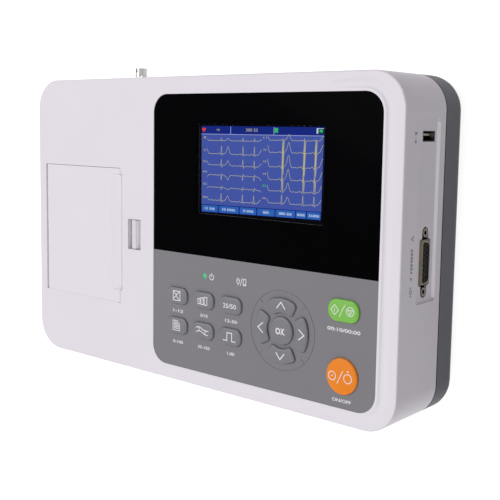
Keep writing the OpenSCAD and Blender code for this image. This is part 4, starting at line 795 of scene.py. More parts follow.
@dataclass
class Key:
    """One key: a crowned cap with a soft edge over a flange, and the symbol printed on it."""

    node: str
    kind: KeyKind
    finish: Finish
    slot: str
    half: Pair
    corner: float = 4.6
    turn: float = 0.0
    centre: Pair | None = None
    crown: float = 0.55
    edge: float = 1.5
    edge_drop: float = 0.75
    flange: float = 0.9
    flange_t: float = 1.2
    gap: float = 0.29
    steps: int = 9
    arrow_r0: float = 10.9
    arrow_r1: float = 19.8
    arrow_half: float = 27.0
    arrow_corner: float = 2.4
    top: float = field(init=False, default=0.0)
    low: float = field(init=False, default=0.0)
    middle: np.ndarray = field(init=False)
    axes: np.ndarray = field(init=False)

    def __post_init__(self) -> None:
        """Reads the key's place from its node and sets the directions of its crown."""
        low, high = box_mm(self.node)
        self.low, self.top = low[2], high[2]
        angle = math.radians(self.turn)
        self.axes = np.array([[math.cos(angle), math.sin(angle)], [-math.sin(angle), math.cos(angle)]])
        self.middle = np.array((low[:2] + high[:2]) / 2 if self.centre is None else self.centre, float)
        if self.kind is KeyKind.ARROW:
            self.middle = self.middle + (self.arrow_r0 + self.arrow_r1) / 2 * self.axes[0]

    def body(self) -> str:
        """Returns the name of the body that the key moves with."""
        return self.node.replace("key_", "button_")

    def outline(self) -> tuple[np.ndarray, np.ndarray]:
        """Returns the key's outline and normals, from its own middle and along its own axes."""
        if self.kind is KeyKind.PAD:
            return round_rect(2 * self.half[0], 2 * self.half[1], self.corner, 12)
        if self.kind is KeyKind.DISC:
            return disc(self.half[0], 72)
        shift = np.array([(self.arrow_r0 + self.arrow_r1) / 2, 0.0])
        way = np.radians(self.arrow_half)
        spots = {s: np.array([math.cos(way), s * math.sin(way)]) for s in (-1, 1)}
        outer, inner = self.arrow_r1 - self.arrow_corner, self.arrow_r0 + self.arrow_corner
        h, c = self.arrow_half, self.arrow_corner
        points, normals = join([
            arc((0, 0), self.arrow_r1, -h + 1, h - 1, 22), arc(tuple(spots[1] * outer), c, h, h + 90, 8),
            arc(tuple(spots[1] * inner), c, h + 90, h + 180, 8),
            arc((0, 0), self.arrow_r0, h - 1, -h + 1, 16, hollow=True),
            arc(tuple(spots[-1] * inner), c, 180 - h, 270 - h, 8),
            arc(tuple(spots[-1] * outer), c, 270 - h, 360 - h, 8)])
        return points - shift, normals

    def dome(self, x: np.ndarray, y: np.ndarray) -> np.ndarray:
        """Height of the crown at a place on the key.

        The crown is the top less its drop times the sum of the squares of the two distances from the middle,
        each as a share of the half-size in that direction.

        Args:
            x: Places along the key's first axis, from its middle.
            y: Places along its second axis.

        Returns:
            Heights in millimetres.
        """
        return self.top - self.crown * ((x / self.half[0]) ** 2 + (y / self.half[1]) ** 2) / 2

    def ground(self, x: np.ndarray, y: np.ndarray) -> np.ndarray:
        """Height of the crown at a place in the machine's frame, a little sunk so that a print holds to it."""
        local = (np.stack([x, y], axis=-1) - self.middle) @ self.axes.T
        return self.dome(local[..., 0], local[..., 1]) - SINK

    def build(self) -> None:
        """Makes the cap: flange, wall, a quarter-round edge, and a crown that shrinks to the middle."""
        points, normals = self.outline()
        rings = [at_height(points + self.flange * normals, self.low),
                 at_height(points + self.flange * normals, self.low + self.flange_t),
                 at_height(points, self.low + self.flange_t)]
        for angle in np.radians(np.linspace(0, 90, self.steps)):
            at = points - self.edge * (1 - math.cos(angle)) * normals
            rings.append(np.column_stack([at, self.dome(*at.T) - self.edge_drop * (1 - math.sin(angle))]))
        rim = rings[-1][:, :2]
        for share in np.linspace(0.9, 0.1, self.steps):
            at = rim * share
            rings.append(np.column_stack([at, self.dome(*at.T)]))
        rings = np.array(rings)
        rings[..., :2] = rings[..., :2] @ self.axes + self.middle
        shape = Shape()
        shape.tube(rings, np.append(self.middle, self.low), np.append(self.middle, self.top))
        piece = shape.build(self.node + "_cap", self.finish, self.slot, Crease.MOULDED, self.body())
        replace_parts(piece, self.node)

    def build_skirt(self) -> None:
        """Makes the film's folded lip round the key: a flat ring just under the overlay's top, in its gap."""
        points, normals = self.outline()
        top = box_mm("keypad_overlay")[1][2]
        shape = Shape()
        shape.loft([((points + out * normals) @ self.axes + self.middle, top - drop)
                    for out, drop in ((0.05, 0.5), (self.gap, 0.5), (self.gap, 0.04), (0.05, 0.16))])
        shape.build(self.node.replace("key_", "film_lip_"), OVERLAY_FILM, "overlay_grey", Crease.PRINT)

    def print_symbol(self, paths: list, width: float, closed: tuple[int, ...] = ()) -> None:
        """Prints a symbol of several strokes on the crown.

        Args:
            paths: Points of each stroke, from the key's middle.
            width: Width of the strokes.
            closed: Numbers of the paths that close on themselves.
        """
        shape = Shape()
        for number, path in enumerate(paths):
            ends_meet = number in closed
            shape.stroke(refine(path, ends_meet) + self.middle, width, self.ground, KEY_INK, ends_meet)
        shape.build(f"{self.node}_symbol", INK_WHITE, self.slot, Crease.PRINT, self.body())


def refine(path: list | np.ndarray, closed: bool, step: float = 1.0) -> np.ndarray:
    """Cuts long runs of a path so that a stroke can follow a crowned key.

    Args:
        path: Corner points.
        closed: True where the path returns to its first point.
        step: Longest run that stays whole.

    Returns:
        The corner points with even points between them.
    """
    corners = np.asarray(path, float)
    ends = np.roll(corners, -1, axis=0) if closed else corners[1:]
    starts = corners if closed else corners[:-1]
    runs = [a + (b - a) * np.linspace(0, 1, max(2, int(np.ceil(np.linalg.norm(b - a) / step)) + 1))[:-1, None]
            for a, b in zip(starts, ends)]
    return np.vstack(runs if closed else runs + [corners[-1:]])


def ring_path(x: float, y: float, radius: float, start: float = 0.0, end: float = 360.0) -> np.ndarray:
    """Points on a circle or on part of one, for a stroke.

    Args:
        x: Place of its middle across.
        y: Place of its middle upwards.
        radius: Its radius.
        start: First angle in degrees.
        end: Last angle in degrees.

    Returns:
        One point every twelve degrees or so.
    """
    steps = max(8, int(abs(end - start) / 12))
    whole = abs(end - start) >= 360
    return arc((x, y), radius, start, end - (360 / steps if whole else 0), steps)[0]


@dataclass
class Keypad:
    """The keypad: thirteen keys, the symbols and numbers printed with them, and the power light."""

    arrows: tuple[tuple[str, float], ...] = (("right", 0), ("up", 90), ("left", 180), ("down", 270))
    number_height: float = 2.0
    number_bold: float = 0.028
    lens_inset: float = 0.6
    lens_drop: float = 0.5
    keys: dict[str, Key] = field(init=False, default_factory=dict)

    def build(self) -> None:
        """Makes the keys, their symbols, the numbers and the light."""
        pads = ["mode", "gain", "speed", "print", "filter", "cal"]
        for name in pads:
            self.keys[name] = Key(f"key_{name}", KeyKind.PAD, KEY_GREY, "key_grey", (8.9, 5.4))
        dial = tuple(middle_mm("key_ok")[:2])
        for name, turn in self.arrows:
            self.keys[name] = Key(f"key_{name}", KeyKind.ARROW, KEY_GREY, "key_grey", (4.45, 9.6), turn=turn,
                                  centre=dial, edge=1.3, crown=0.45)
        self.keys["ok"] = Key("key_ok", KeyKind.DISC, KEY_GREY, "key_grey", (8.5, 8.5), crown=0.7, edge=1.6)
        self.keys["start"] = Key("key_start", KeyKind.PAD, KEY_GREEN, "key_green", (10.5, 6.45), corner=5.8,
                                 crown=0.7)
        self.keys["power"] = Key("key_power", KeyKind.DISC, KEY_ORANGE, "key_orange", (10.6, 10.6), crown=0.8,
                                 edge=1.6)
        for key in self.keys.values():
            key.build()
            key.build_skirt()
        self.print_symbols()
        self.print_numbers(pads)
        self.print_light_marks()
        self.build_light()

    def print_symbols(self) -> None:
        """Prints the keys' symbols as white strokes."""
        line = 0.55
        self.keys["mode"].print_symbol([
            [(-3.2, -3.0), (3.0, -3.0), (3.0, 3.1), (-3.2, 3.1)],
            [(-3.0, 2.7), (-0.5, 0.7), (0.4, -0.9), (2.8, -2.7)],
            [(-3.0, -1.9), (-0.7, -0.3), (0.3, 1.4), (2.8, 2.7)]], line, (0,))
        self.keys["gain"].print_symbol([
            [(-4.0, -2.4), (-2.2, -2.4), (-2.2, 1.0), (-4.0, 1.0)],
            [(-1.4, -2.5), (0.7, -2.5), (0.7, 1.7), (-1.4, 1.7)],
            [(1.5, -2.6), (3.8, -2.6), (3.8, 2.4), (1.5, 2.4)]], line, (0, 1, 2))
        rows = [[(-2.5, y), (end, y)]
                for y, end in ((2.3, 0.6), (1.3, 1.7), (0.3, 2.3), (-0.7, 2.3), (-1.7, 2.3))]
        self.keys["print"].print_symbol([
            [(-3.3, -3.0), (2.9, -3.0), (2.9, 1.1), (0.4, 3.4), (-3.3, 3.4)], *rows], 0.48, (0,))
        upper = [(-5.6, 1.6), (-4.9, 2.1), (-3.9, 2.4), (-2.8, 2.4), (-1.7, 2.2), (-0.6, 1.7), (0.6, 1.1), (1.6, 0.8),
                 (2.5, 0.7), (4.0, 0.7), (5.5, 0.6)]
        lower = [(-5.5, -1.1), (-4.4, -0.5), (-3.4, -0.2), (-2.4, 0.0), (-1.5, -0.1), (-0.6, -0.4), (0.3, -0.9),
                 (1.2, -1.4), (2.2, -1.8), (3.6, -2.1), (5.0, -2.1)]
        self.keys["filter"].print_symbol([
            upper, lower, [(-2.8, 2.3), (-2.8, 0.0)], [(2.5, 0.7), (2.5, -1.8)]], line)
        self.keys["cal"].print_symbol([
            [(-5.4, -2.45), (-2.05, -2.45), (-2.05, 2.65), (1.95, 2.65), (1.95, -2.5), (5.1, -2.5)]], 0.62)
        for name, _ in self.arrows:
            chevron = np.array([(-1.9, 3.2), (2.1, 0.0), (-1.9, -3.2)]) @ self.keys[name].axes
            self.keys[name].print_symbol([chevron], 0.66)
        for name, text, size, bold, thick in (("speed", "25/50", (10.8, 2.9), 0.012, FILM_INK),
                                              ("ok", "OK", (7.2, 4.0), 0.035, KEY_INK)):
            key = self.keys[name]
            shape = Shape()
            shape.figures(text, size, tuple(key.middle + (-0.2, -0.3)), key.ground, thick, bold)
            shape.build(f"{key.node}_figures", INK_WHITE, key.slot, Crease.PRINT, key.body())
        self.keys["start"].print_symbol([
            [(-5.45, -2.7), (-2.7, 0.2), (-5.45, 3.0), (-8.2, 0.2)], [(-5.5, -0.9), (-5.5, 1.2)],
            [(-2.2, -3.5), (1.6, 3.9)], ring_path(5.05, 0.27, 2.5),
            [(3.5, 1.1), (6.6, 1.1), (5.05, -1.5)]], 0.42, (0, 3, 4))
        self.keys["power"].print_symbol([
            ring_path(-6.1, -0.35, 2.5), ring_path(-6.1, -0.3, 0.22),
            [(-2.6, -4.3), (1.2, 3.5)], ring_path(4.6, -0.45, 2.6),
            ring_path(4.6, 3.7, 0.28)], 0.46, (0, 1, 3, 4))

    def print_numbers(self, pads: list[str]) -> None:
        """Prints the plain numbers under the function keys, and the marks under the two command keys.

        Args:
            pads: Names of the function keys, in the order of their numbers.
        """
        ground = flat(box_mm("keypad_overlay")[1][2] - SINK)
        shape = Shape()
        small = self.number_height
        texts = ("1-12", "5/10", "12-50", "0-100", "35-150", "1.00")
        sizes = ((9.2, small), (6.5, small), (10.0, small), (9.3, small), (10.3, small), (6.1, small))
        places = ((-0.1, -10.2), (-0.1, -10.1), (-0.1, -10.2), (-0.1, -11.0), (-0.1, -11.0), (-0.1, -11.0))
        rows = [*zip(pads, texts, sizes, places), ("start", "00:10/00:00", (22.6, 2.2), (0.0, -11.3)),
                ("power", "ON/OFF", (13.0, small), (-0.3, -14.4))]
        for name, text, size, place in rows:
            shape.figures(text, size, tuple(self.keys[name].middle + place), ground, FILM_INK, self.number_bold)
        shape.build("overlay_numbers", INK_PALE, "overlay_grey", Crease.PRINT)

    def print_light_marks(self) -> None:
        """Prints the marks beside the power light: a power sign, and a plug, a slash and a battery."""
        ground = flat(box_mm("keypad_overlay")[1][2] - SINK)
        lamp = middle_mm("light_pipes")[:2]
        marks = Shape()
        for shift, width, closed, path in (
                (6.1, 0.5, False, ring_path(0, 0, 1.75, 120, 420)),
                (6.1, 0.5, False, [(0, 0.1), (0, 2.6)]),
                (30.9, 0.5, True, [(-3.6, 0.9), (-3.5, -0.6), (-2.5, -1.5), (-1.5, -0.6), (-1.4, 0.9)]),
                (30.9, 0.45, False, [(-3.1, 0.9), (-3.1, 2.3)]),
                (30.9, 0.45, False, [(-1.9, 0.9), (-1.9, 2.3)]),
                (30.9, 0.45, False, [(-2.5, -1.5), (-2.5, -2.6)]),
                (30.9, 0.45, False, [(-0.7, -2.5), (0.7, 2.5)]),
                (30.9, 0.5, True, [(1.7, -2.0), (3.8, -2.0), (3.8, 1.9), (1.7, 1.9)]),
                (30.9, 0.8, False, [(1.9, -1.5), (3.6, -1.5)])):
            marks.stroke(np.array(path) + (lamp + [shift, 0]), width, ground, FILM_INK, closed)
        marks.build("overlay_light_marks", INK_WHITE, "overlay_grey", Crease.PRINT)

    def build_light(self) -> None:
        """Makes the power light's lens: a rod whose end is rounded over by a quarter circle."""
        low, high = box_mm("light_pipes")
        middle, radius = (low + high)[:2] / 2, (high[0] - low[0]) / 2
        points, normals = disc(radius, 32)
        rings = [at_height(points, low[2])]
        for angle in np.radians(np.linspace(0, 85, 8)):
            at = points - self.lens_inset * radius * (1 - math.cos(angle)) * normals
            rings.append(at_height(at, high[2] - self.lens_drop * (1 - math.sin(angle))))
        rings = np.array(rings)
        rings[..., :2] += middle
        shape = Shape()
        shape.tube(rings, np.append(middle, low[2]), np.append(middle, high[2]))
        piece = shape.build("power_light_lens", LAMP_GREEN, "lamp_green", Crease.LENS)
        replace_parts(piece, "light_pipes")


# ------------------------------------------------------------------------------------------- display

@dataclass
class Window:
    """The acrylic sheet over the display: black round a clear middle, with polished edges."""

    opening: Pair = (97.84, 56.66)
    mouth: Pair = (100.4, 57.2)
    corner: float = 12.0
    bevel: float = 0.3
    mouth_corner: float = 0.4
    steps: int = 17
    pane_t: float = 0.05

    def build(self) -> None:
        """Makes the black sheet with its opening, and the clear pane in it."""
        low, high = box_mm("display_window")
        middle = middle_mm("display_glass")[:2]
        outer = self.sheet_outline(low, high)
        inner, mouth = (np.roll(round_rect(*size, self.mouth_corner, self.steps)[0], -self.steps, axis=0) + middle
                        for size in (self.opening, self.mouth))
        drawn_in = outer + (middle - outer) / np.linalg.norm(middle - outer, axis=1, keepdims=True) * self.bevel
        shape = Shape()
        shape.loft([(inner, low[2]), (outer, low[2]), (outer, high[2] - self.bevel), (drawn_in, high[2]),
                    (mouth, high[2])])
        piece = shape.build("window_sheet", WINDOW_BLACK, "window_black", Crease.SHEET)
        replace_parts(piece, "display_window")
        pane = Shape()
        pane.slab(mouth - (mouth - middle) * 1e-4, flat(high[2] - self.pane_t), self.pane_t)
        pane.build("window_pane", WINDOW_CLEAR, "window_black", Crease.SHEET)

    def sheet_outline(self, low: np.ndarray, high: np.ndarray) -> np.ndarray:
        """Outline of the sheet: round corners at the rear, square ones along the overlay.

        Args:
            low: Lowest corner of its box.
            high: Highest corner of its box.

        Returns:
            Points, anticlockwise from the right rear corner, with as many on each side.
        """
        r, n = self.corner, self.steps
        right = arc((high[0] - r, high[1] - r), r, 0, 90, n)[0]
        left = arc((low[0] + r, high[1] - r), r, 90, 180, n)[0]
        down = np.column_stack([np.full(n, low[0]), np.linspace(high[1] - r - 1, low[1], n)])
        up = np.column_stack([np.full(n, high[0]), np.linspace(low[1], low[1] + r, n)])
        return np.vstack([right, left, down, up])


@dataclass
class HeartTrace:
    """One lead of the electrocardiogram as a curve over the screen."""

    base: float
    r_wave: float
    s_wave: float
    t_wave: float
    beats: tuple[float, ...]
    t_at: float
    span: Pair
    sink: float = 0.0
    steps: int = 420

    def path(self) -> np.ndarray:
        """Points of the curve.

        The height is the base plus a bell curve for each wave, by its place, its width and its height: R, S, P
        and Q at each beat, T with its shoulder, and the half of a T wave at either end of the screen. A bell is
        e to the power of minus the square of the distance from its place in widths. A slow sine and an even
        fall stand for the drift of the baseline.

        Returns:
            Points of two columns, from the middle of the screen.
        """
        start, end = self.span
        x = np.linspace(start, end, self.steps)
        beat_waves = ((0.0, 0.3, self.r_wave), (0.55, 0.26, -self.s_wave), (-2.3, 0.7, 0.1 * self.t_wave),
                      (-0.6, 0.22, -0.08 * self.r_wave))
        waves = [(beat + after, wide, height) for beat in self.beats for after, wide, height in beat_waves]
        waves += [(self.t_at, 1.25, self.t_wave), (self.t_at - 2.0, 1.0, 0.12 * self.t_wave),
                  (start - 0.6, 1.1, 0.9 * self.t_wave), (end + 0.8, 2.2, 0.9 * self.t_wave)]
        y = self.base + 0.12 * np.sin(x * 1.9) - self.sink * (x - start) / 40
        for place, wide, height in waves:
            y += height * np.exp(-((x - place) / wide) ** 2)
        return np.column_stack([x, y])


@dataclass
class Screen:
    """The lit picture: title bar, twelve traces with their numbers, and seven soft keys."""

    lit: Pair = (95.04, 53.86)
    bar_h: float = 4.9
    film: float = 0.012
    shifts: tuple[Pair, ...] = ((0.0, -0.4), (-0.95, 1.4), (-0.5, 0.3), (0.0, 0.6))
    left_beats: tuple[float, ...] = (-30.5, -12.7, -3.6)
    right_beats: tuple[float, ...] = (18.2, 34.0, 42.1)
    middle: np.ndarray = field(init=False)
    level: float = field(init=False)

    def __post_init__(self) -> None:
        """Reads the place of the display glass."""
        low, high = box_mm("display_glass")
        self.middle, self.level = (low + high)[:2] / 2, high[2]

    def at(self, path: list | np.ndarray) -> np.ndarray:
        """Moves points from the middle of the screen to the machine's frame.

        Each corner of the picture has its own small shift. A point takes the four shifts in proportion to s and
        1 - s across and to t and 1 - t upwards, with s and t its shares of the width and the height.

        Args:
            path: Points from the middle of the screen.

        Returns:
            Points in the machine's frame.
        """
        points = np.asarray(path, float)
        s, t = (points / self.lit + 0.5).T
        weights = np.stack([(1 - s) * (1 - t), s * (1 - t), (1 - s) * t, s * t], axis=-1)
        return points + weights @ np.array(self.shifts) + self.middle

    def layer(self, name: str, finish: Finish, bars: list[tuple[float, ...]]) -> None:
        """Makes one layer of the picture from flat bars with slightly round corners.

        Args:
            name: Last words of the piece's name.
            finish: Its finish.
            bars: Left, right, lower and upper edge, height above the glass and corner radius of each bar.
        """
        shape = Shape()
        for x0, x1, y0, y1, height, corner in bars:
            outline = round_rect(x1 - x0, y1 - y0, corner, 4)[0] + [(x0 + x1) / 2, (y0 + y1) / 2]
            shape.slab(self.at(outline), flat(self.level + height), self.film)
        shape.build(f"picture_{name}", finish, "display_face", Crease.SHEET)

    def line(self, shape: Shape, path: list | np.ndarray, width: float, height: float) -> None:
        """Adds a stroke of the picture at a height above the glass."""
        shape.stroke(self.at(path), width, flat(self.level + height), self.film)

    def build(self) -> None:
        """Makes the cell's glass and each layer of the picture."""
        self.build_cell()
        self.build_bars()
        self.build_traces()
        self.build_figures()

    def build_cell(self) -> None:
        """Makes the cell: a slab of dark glass with ground edges, and the lit field on it."""
        low, high = box_mm("display_glass")
        points, normals = round_rect(high[0] - low[0], high[1] - low[1], 0.3, 4)
        shape = Shape()
        shape.loft([(points + self.middle - inset * normals, z)
                    for inset, z in ((0, low[2]), (0, high[2] - 0.15), (0.15, high[2]))], self.middle)
        piece = shape.build("display_cell", LCD_BORDER, "display_face", Crease.SHEET)
        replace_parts(piece, "display_glass")
        w, h = self.lit[0] / 2, self.lit[1] / 2
        self.layer("field", LCD_FIELD, [(-w, w, -h, h, 0.01, 0.15)])

    def build_bars(self) -> None:
        """Makes the title bar, its rules, the soft keys, and the heart, lead and battery marks."""
        w, top, low = self.lit[0] / 2, self.lit[1] / 2, -self.lit[1] / 2
        under = top - self.bar_h
        self.layer("title_bar", LCD_TITLE, [(-w, w, under, top, 0.03, 0.15),
                                            (-w, w, low, low + self.bar_h, 0.03, 0.15)])
        self.layer("rules", LCD_RULE, [(-w, w, under - 0.3, under + 0.05, 0.05, 0.1)] + [
            (x - 0.22, x + 0.22, under + 0.1, top - 0.2, 0.05, 0.1) for x in (-22.9, 11.2)])
        self.layer("soft_keys", LCD_SOFT, [(x0, x1, low + 0.25, low + 4.4, 0.05, 0.4) for x0, x1 in (
            (-47.2, -33.2), (-32.2, -15.7), (-14.7, -1.4), (-0.5, 13.1), (13.9, 28.5), (29.3, 36.8), (37.6, 47.2))])
        heart = Shape()
        heart.slab(self.at(heart_curve(40) * 0.1 + [-45.4, top - 2.3]), flat(self.level + 0.05), self.film)
        heart.build("picture_heart", LCD_RED, "display_face", Crease.SHEET)
        self.layer("lead_marks", LCD_GREEN, [(11.7, 14.4, top - 3.6, top - 0.7, 0.05, 0.5),
                                             (44.4, 46.6, top - 3.0, top - 1.4, 0.08, 0.3)])
        self.layer("battery", LCD_PALE, [(42.3, 43.5, top - 3.7, top - 0.6, 0.05, 0.2),
                                         (43.2, 47.2, top - 0.98, top - 0.63, 0.05, 0.1)])
        self.layer("battery_inside", LCD_DEEP, [(43.5, 47.2, top - 3.6, top - 0.95, 0.06, 0.2)])

    def build_traces(self) -> None:
        """Makes the twelve traces and, over the tall beats, the bright strokes where several leads cross."""
        left, right = (-42.5, 2.1), (6.8, 47.2)
        leads = [HeartTrace(*row, self.left_beats, -25.0, left, sink) for row, sink in (
            ((18.0, 1.7, 0.3, 1.3), 0.0), ((9.9, 5.2, 0.9, 4.6), 0.3), ((3.0, 3.8, 1.4, 2.9), 0.5),
            ((-3.3, -2.8, -0.9, -2.8), 0.0), ((-10.9, -1.2, -1.0, -1.2), 0.5), ((-19.1, 4.6, 1.0, 3.2), 0.4))]
        leads += [HeartTrace(*row, self.right_beats, 22.6, right) for row in (
            (18.9, 1.2, 11.0, 3.6), (11.7, 7.0, 9.5, 6.2), (3.1, 13.5, 5.0, 7.2), (-4.5, 13.0, 6.6, 6.6),
            (-11.3, 8.2, 0.9, 5.2), (-18.6, 5.4, 0.8, 4.1))]
        traces, tall, long = Shape(), Shape(), Shape()
        for lead in leads:
            self.line(traces, lead.path(), 0.32, 0.05)
        for beat, y0, y1 in zip(self.right_beats, (2.0, -2.0, 4.0), (17.5, 12.0, 16.5)):
            self.line(tall, [(beat + 0.15, y0), (beat + 0.2, y1)], 0.5, 0.09)
        for beat in self.right_beats:
            for shift, y0, y1 in ((-0.3, -10.6, 10.2), (0.45, 1.4, 19.2)):
                self.line(long, [(beat + shift, y0), (beat + shift, y1)], 0.3, 0.07)
        for name, shape, finish in (("traces", traces, LCD_TRACE), ("tall_beats", tall, LCD_TRACE_TALL),
                                    ("long_beats", long, LCD_TRACE)):
            shape.build(f"picture_{name}", finish, "display_face", Crease.ROUND)

    def build_figures(self) -> None:
        """Makes the plain numbers of the title bar, the leads and the soft keys."""
        top, low = self.lit[1] / 2, -self.lit[1] / 2
        pale = [(text, 1.5, wide, (x, low + 2.3), 0.075) for text, wide, x in (
            ("12 300", 8.4, -40.2), ("10 5000", 10.5, -24.0), ("25 8008", 8.4, -8.0), ("0001", 4.6, 6.3),
            ("3800 250", 9.8, 21.2), ("8000", 5.6, 33.0), ("36000", 7.6, 42.4))]
        tan = [("14", 1.5, 2.3, (-33.3, top - 2.3), 0.05), ("300 52", 1.9, 9.6, (-5.9, top - 2.2), 0.05)]
        tan += [(str(n) * min(n, 3), 1.3, 0.9 + 0.7 * min(n, 4), (-44.6, y), 0.05)
                for n, y in enumerate((19.8, 11.9, 4.9, -1.5, -9.2, -17.4), start=1)]
        tan += [(f"{n}{n}", 1.3, 2.6, (4.6, y), 0.05)
                for n, y in ((1, 20.4), (2, 13.2), (3, 6.1), (4, -1.3), (6, -15.9))]
        green = [("55", 1.3, 2.8, (4.6, -8.5), 0.05)]
        for name, finish, rows in (("pale", LCD_PALE, pale), ("tan", LCD_TAN, tan), ("green", LCD_GREEN, green)):
            shape = Shape()
            for row in rows:
                self.fitted(shape, *row)
            shape.build(f"picture_figures_{name}", finish, "display_face", Crease.PRINT)

    def fitted(self, shape: Shape, text: str, height: float, width: float, at: Pair,
               layer: float) -> None:
        """Adds figures of a given size.

        Args:
            shape: Shape that receives the figures.
            text: The figures.
            height: Their height.
            width: Their width.
            at: Their middle, from the middle of the screen.
            layer: Height above the glass.
        """
        shape.figures(text, (width, height), tuple(self.at([at])[0]), flat(self.level + layer), 0.015, 0.015)


# ---------------------------------------------------------------------------------------- side prints

@dataclass
class SideMarks:
    """Pad-printed marks on the right wall, between the face and the connectors' recess."""

    depth: float = 11.0
    height: float = 2.5
    bold: float = 0.05

    def build(self) -> None:
        """Prints an arrow and plain numbers beside the lead socket, a heart, and a number at the data port."""
        wall = box_mm("upper_case")[1][0]
        level = box_mm("paper_door")[1][2] - self.depth
        ground = flat(-0.03)
        shape = Shape()
        shape.slab(np.array([(-8.8, 0.0), (-6.7, -1.2), (-6.7, 1.2)]), ground, FILM_INK)
        shape.figures("1234567", (13.8, self.height), (2.6, 0.0), ground, FILM_INK, self.bold)
        shape.stroke([(13.4, -1.2), (16.2, -1.2), (14.8, 1.3)], 0.4, ground, FILM_INK, closed=True)
        shape.stroke([(14.8, -0.5), (14.8, 0.4)], 0.4, ground, FILM_INK)
        shape.stroke(heart_curve(28) * 0.085 + [-14.6, 0.0], 0.5, ground, FILM_INK, closed=True)
        for x in (-17.0, -12.2):
            shape.stroke([(x, -1.2), (x, 1.2)], 0.45, ground, FILM_INK)
        shape.turn(ON_WALL, (wall, middle_mm("lead_socket_shell")[1], level))
        port = Shape()
        port.slab(np.array([(-4.2, 0.0), (-2.4, -1.0), (-2.4, 1.0)]), ground, FILM_INK)
        port.stroke([(-2.4, 0.0), (-0.6, 0.0)], 0.4, ground, FILM_INK)
        port.figures("2", (2.0, 2.4), (1.4, 0.0), ground, FILM_INK, self.bold)
        port.turn(ON_WALL, (wall, middle_mm("usb_shell")[1], level))
        shape.take(port)
        shape.build("side_marks", INK_DARK, "case_ivory", Crease.PRINT)


# --------------------------------------------------------------------------------- trims and fillings

@dataclass
class CaseTrim:
    """Small trims of the case: seam gasket in black as painted shade, bevel of the side recess in near-white as a
    painted highlight, fillings of the door's seams.

    The seam is the range of the gasket's heights, and the slot the paper's way out beside the door. The lip and
    the seal are given by width and thickness, and the bevel's slope by the place of its middle as shares of the legs.
    """

    corner: float = 21.0
    wall: float = 2.8
    seam: Pair = (25.51, 26.29)
    recess_x: Pair = (156.1, 157.48)
    recess_y: Pair = (-31.9, 70.6)
    recess_low: float = 32.05
    bevel: float = 1.5
    bevel_end: float = 3.0
    bevel_taper: float = 0.98
    bevel_slope: Pair = (0.55, 0.45)
    overlap: float = 0.02
    lip: Pair = (0.56, 0.8)
    seal: Pair = (0.25, 1.05)
    slot_half: float = 40.6
    slot_level: float = 68.25

    def build(self) -> None:
        """Makes each trim."""
        self.build_seam()
        self.build_bevel()
        self.build_door_seams()

    def build_seam(self) -> None:
        """Makes the near-black gasket between the halves, painted shade for the seam, which follows the case a little
        inside its skin.
        """
        low, high = box_mm("upper_case")
        points, normals = round_rect(*(high - low)[:2], self.corner, 16)
        middle = (low + high)[:2] / 2
        inner, outer = (points - depth * normals + middle for depth in (self.wall - 0.1, 0.02))
        floor, top = self.seam
        shape = Shape()
        shape.loft([(inner, floor), (outer, floor), (outer, top), (inner, top)])
        shape.build("seam_gasket_painted_shade", SEAM_SHADE_CORD, "black_rubber", Crease.PRINT)

    def build_bevel(self) -> None:
        """Makes the bevel along the recess's lower edge, in a near-white that paints in the highlight along that
        edge.

        Its section has a right angle and a slightly hollow slope. Its size goes by the square root of one less
        the taper times the square of the distance into either end's run, as a share of that run.
        """
        y0, y1 = self.recess_y
        y = np.linspace(y0, y1, 60)
        into = np.clip((np.abs(y - (y0 + y1) / 2) - (y1 - y0) / 2 + self.bevel_end) / self.bevel_end, 0, 1)
        size = np.sqrt(1 - self.bevel_taper * into ** 2)
        (x0, x1), z = self.recess_x, self.recess_low
        wide, tall, foot = (x1 - x0) * size, self.bevel * size, 0 * size - self.overlap
        across, up = self.bevel_slope
        corners = [(x0 + foot, z + foot), (x0 + wide, z + foot), (x0 + across * wide, z + up * tall),
                   (x0 + foot, z + tall)]
        rings = np.stack([np.column_stack([cx, y, cz]) for cx, cz in corners], axis=1)[:, ::-1]
        shape = Shape()
        shape.tube(rings, rings[0].mean(axis=0), rings[-1].mean(axis=0))
        shape.build("recess_bevel_painted_highlight", BEVEL_HIGHLIGHT_IVORY, "case_ivory", Crease.BEVEL)

    def build_door_seams(self) -> None:
        """Makes the lip that narrows the paper slot and the strip that closes the door's front seam."""
        low, high = box_mm("paper_door")
        lip = Shape()
        at = (high[0] + 0.42, middle_mm("paper_roll")[1])
        width, thick = self.lip
        lip.plate((width, 2 * self.slot_half), 0.1, at, self.slot_level - thick, thick)
        lip.build("paper_slot_lip", CASE_IVORY, "case_ivory", Crease.PRINT)
        strip = Shape()
        at = ((low[0] + high[0]) / 2 - 0.5, low[1] - 0.16)
        width, thick = self.seal
        strip.plate((high[0] - low[0] - 3.0, width), 0.05, at, high[2] - 1.2, thick)
        strip.build("door_front_seal", CASE_IVORY, "case_ivory", Crease.PRINT)


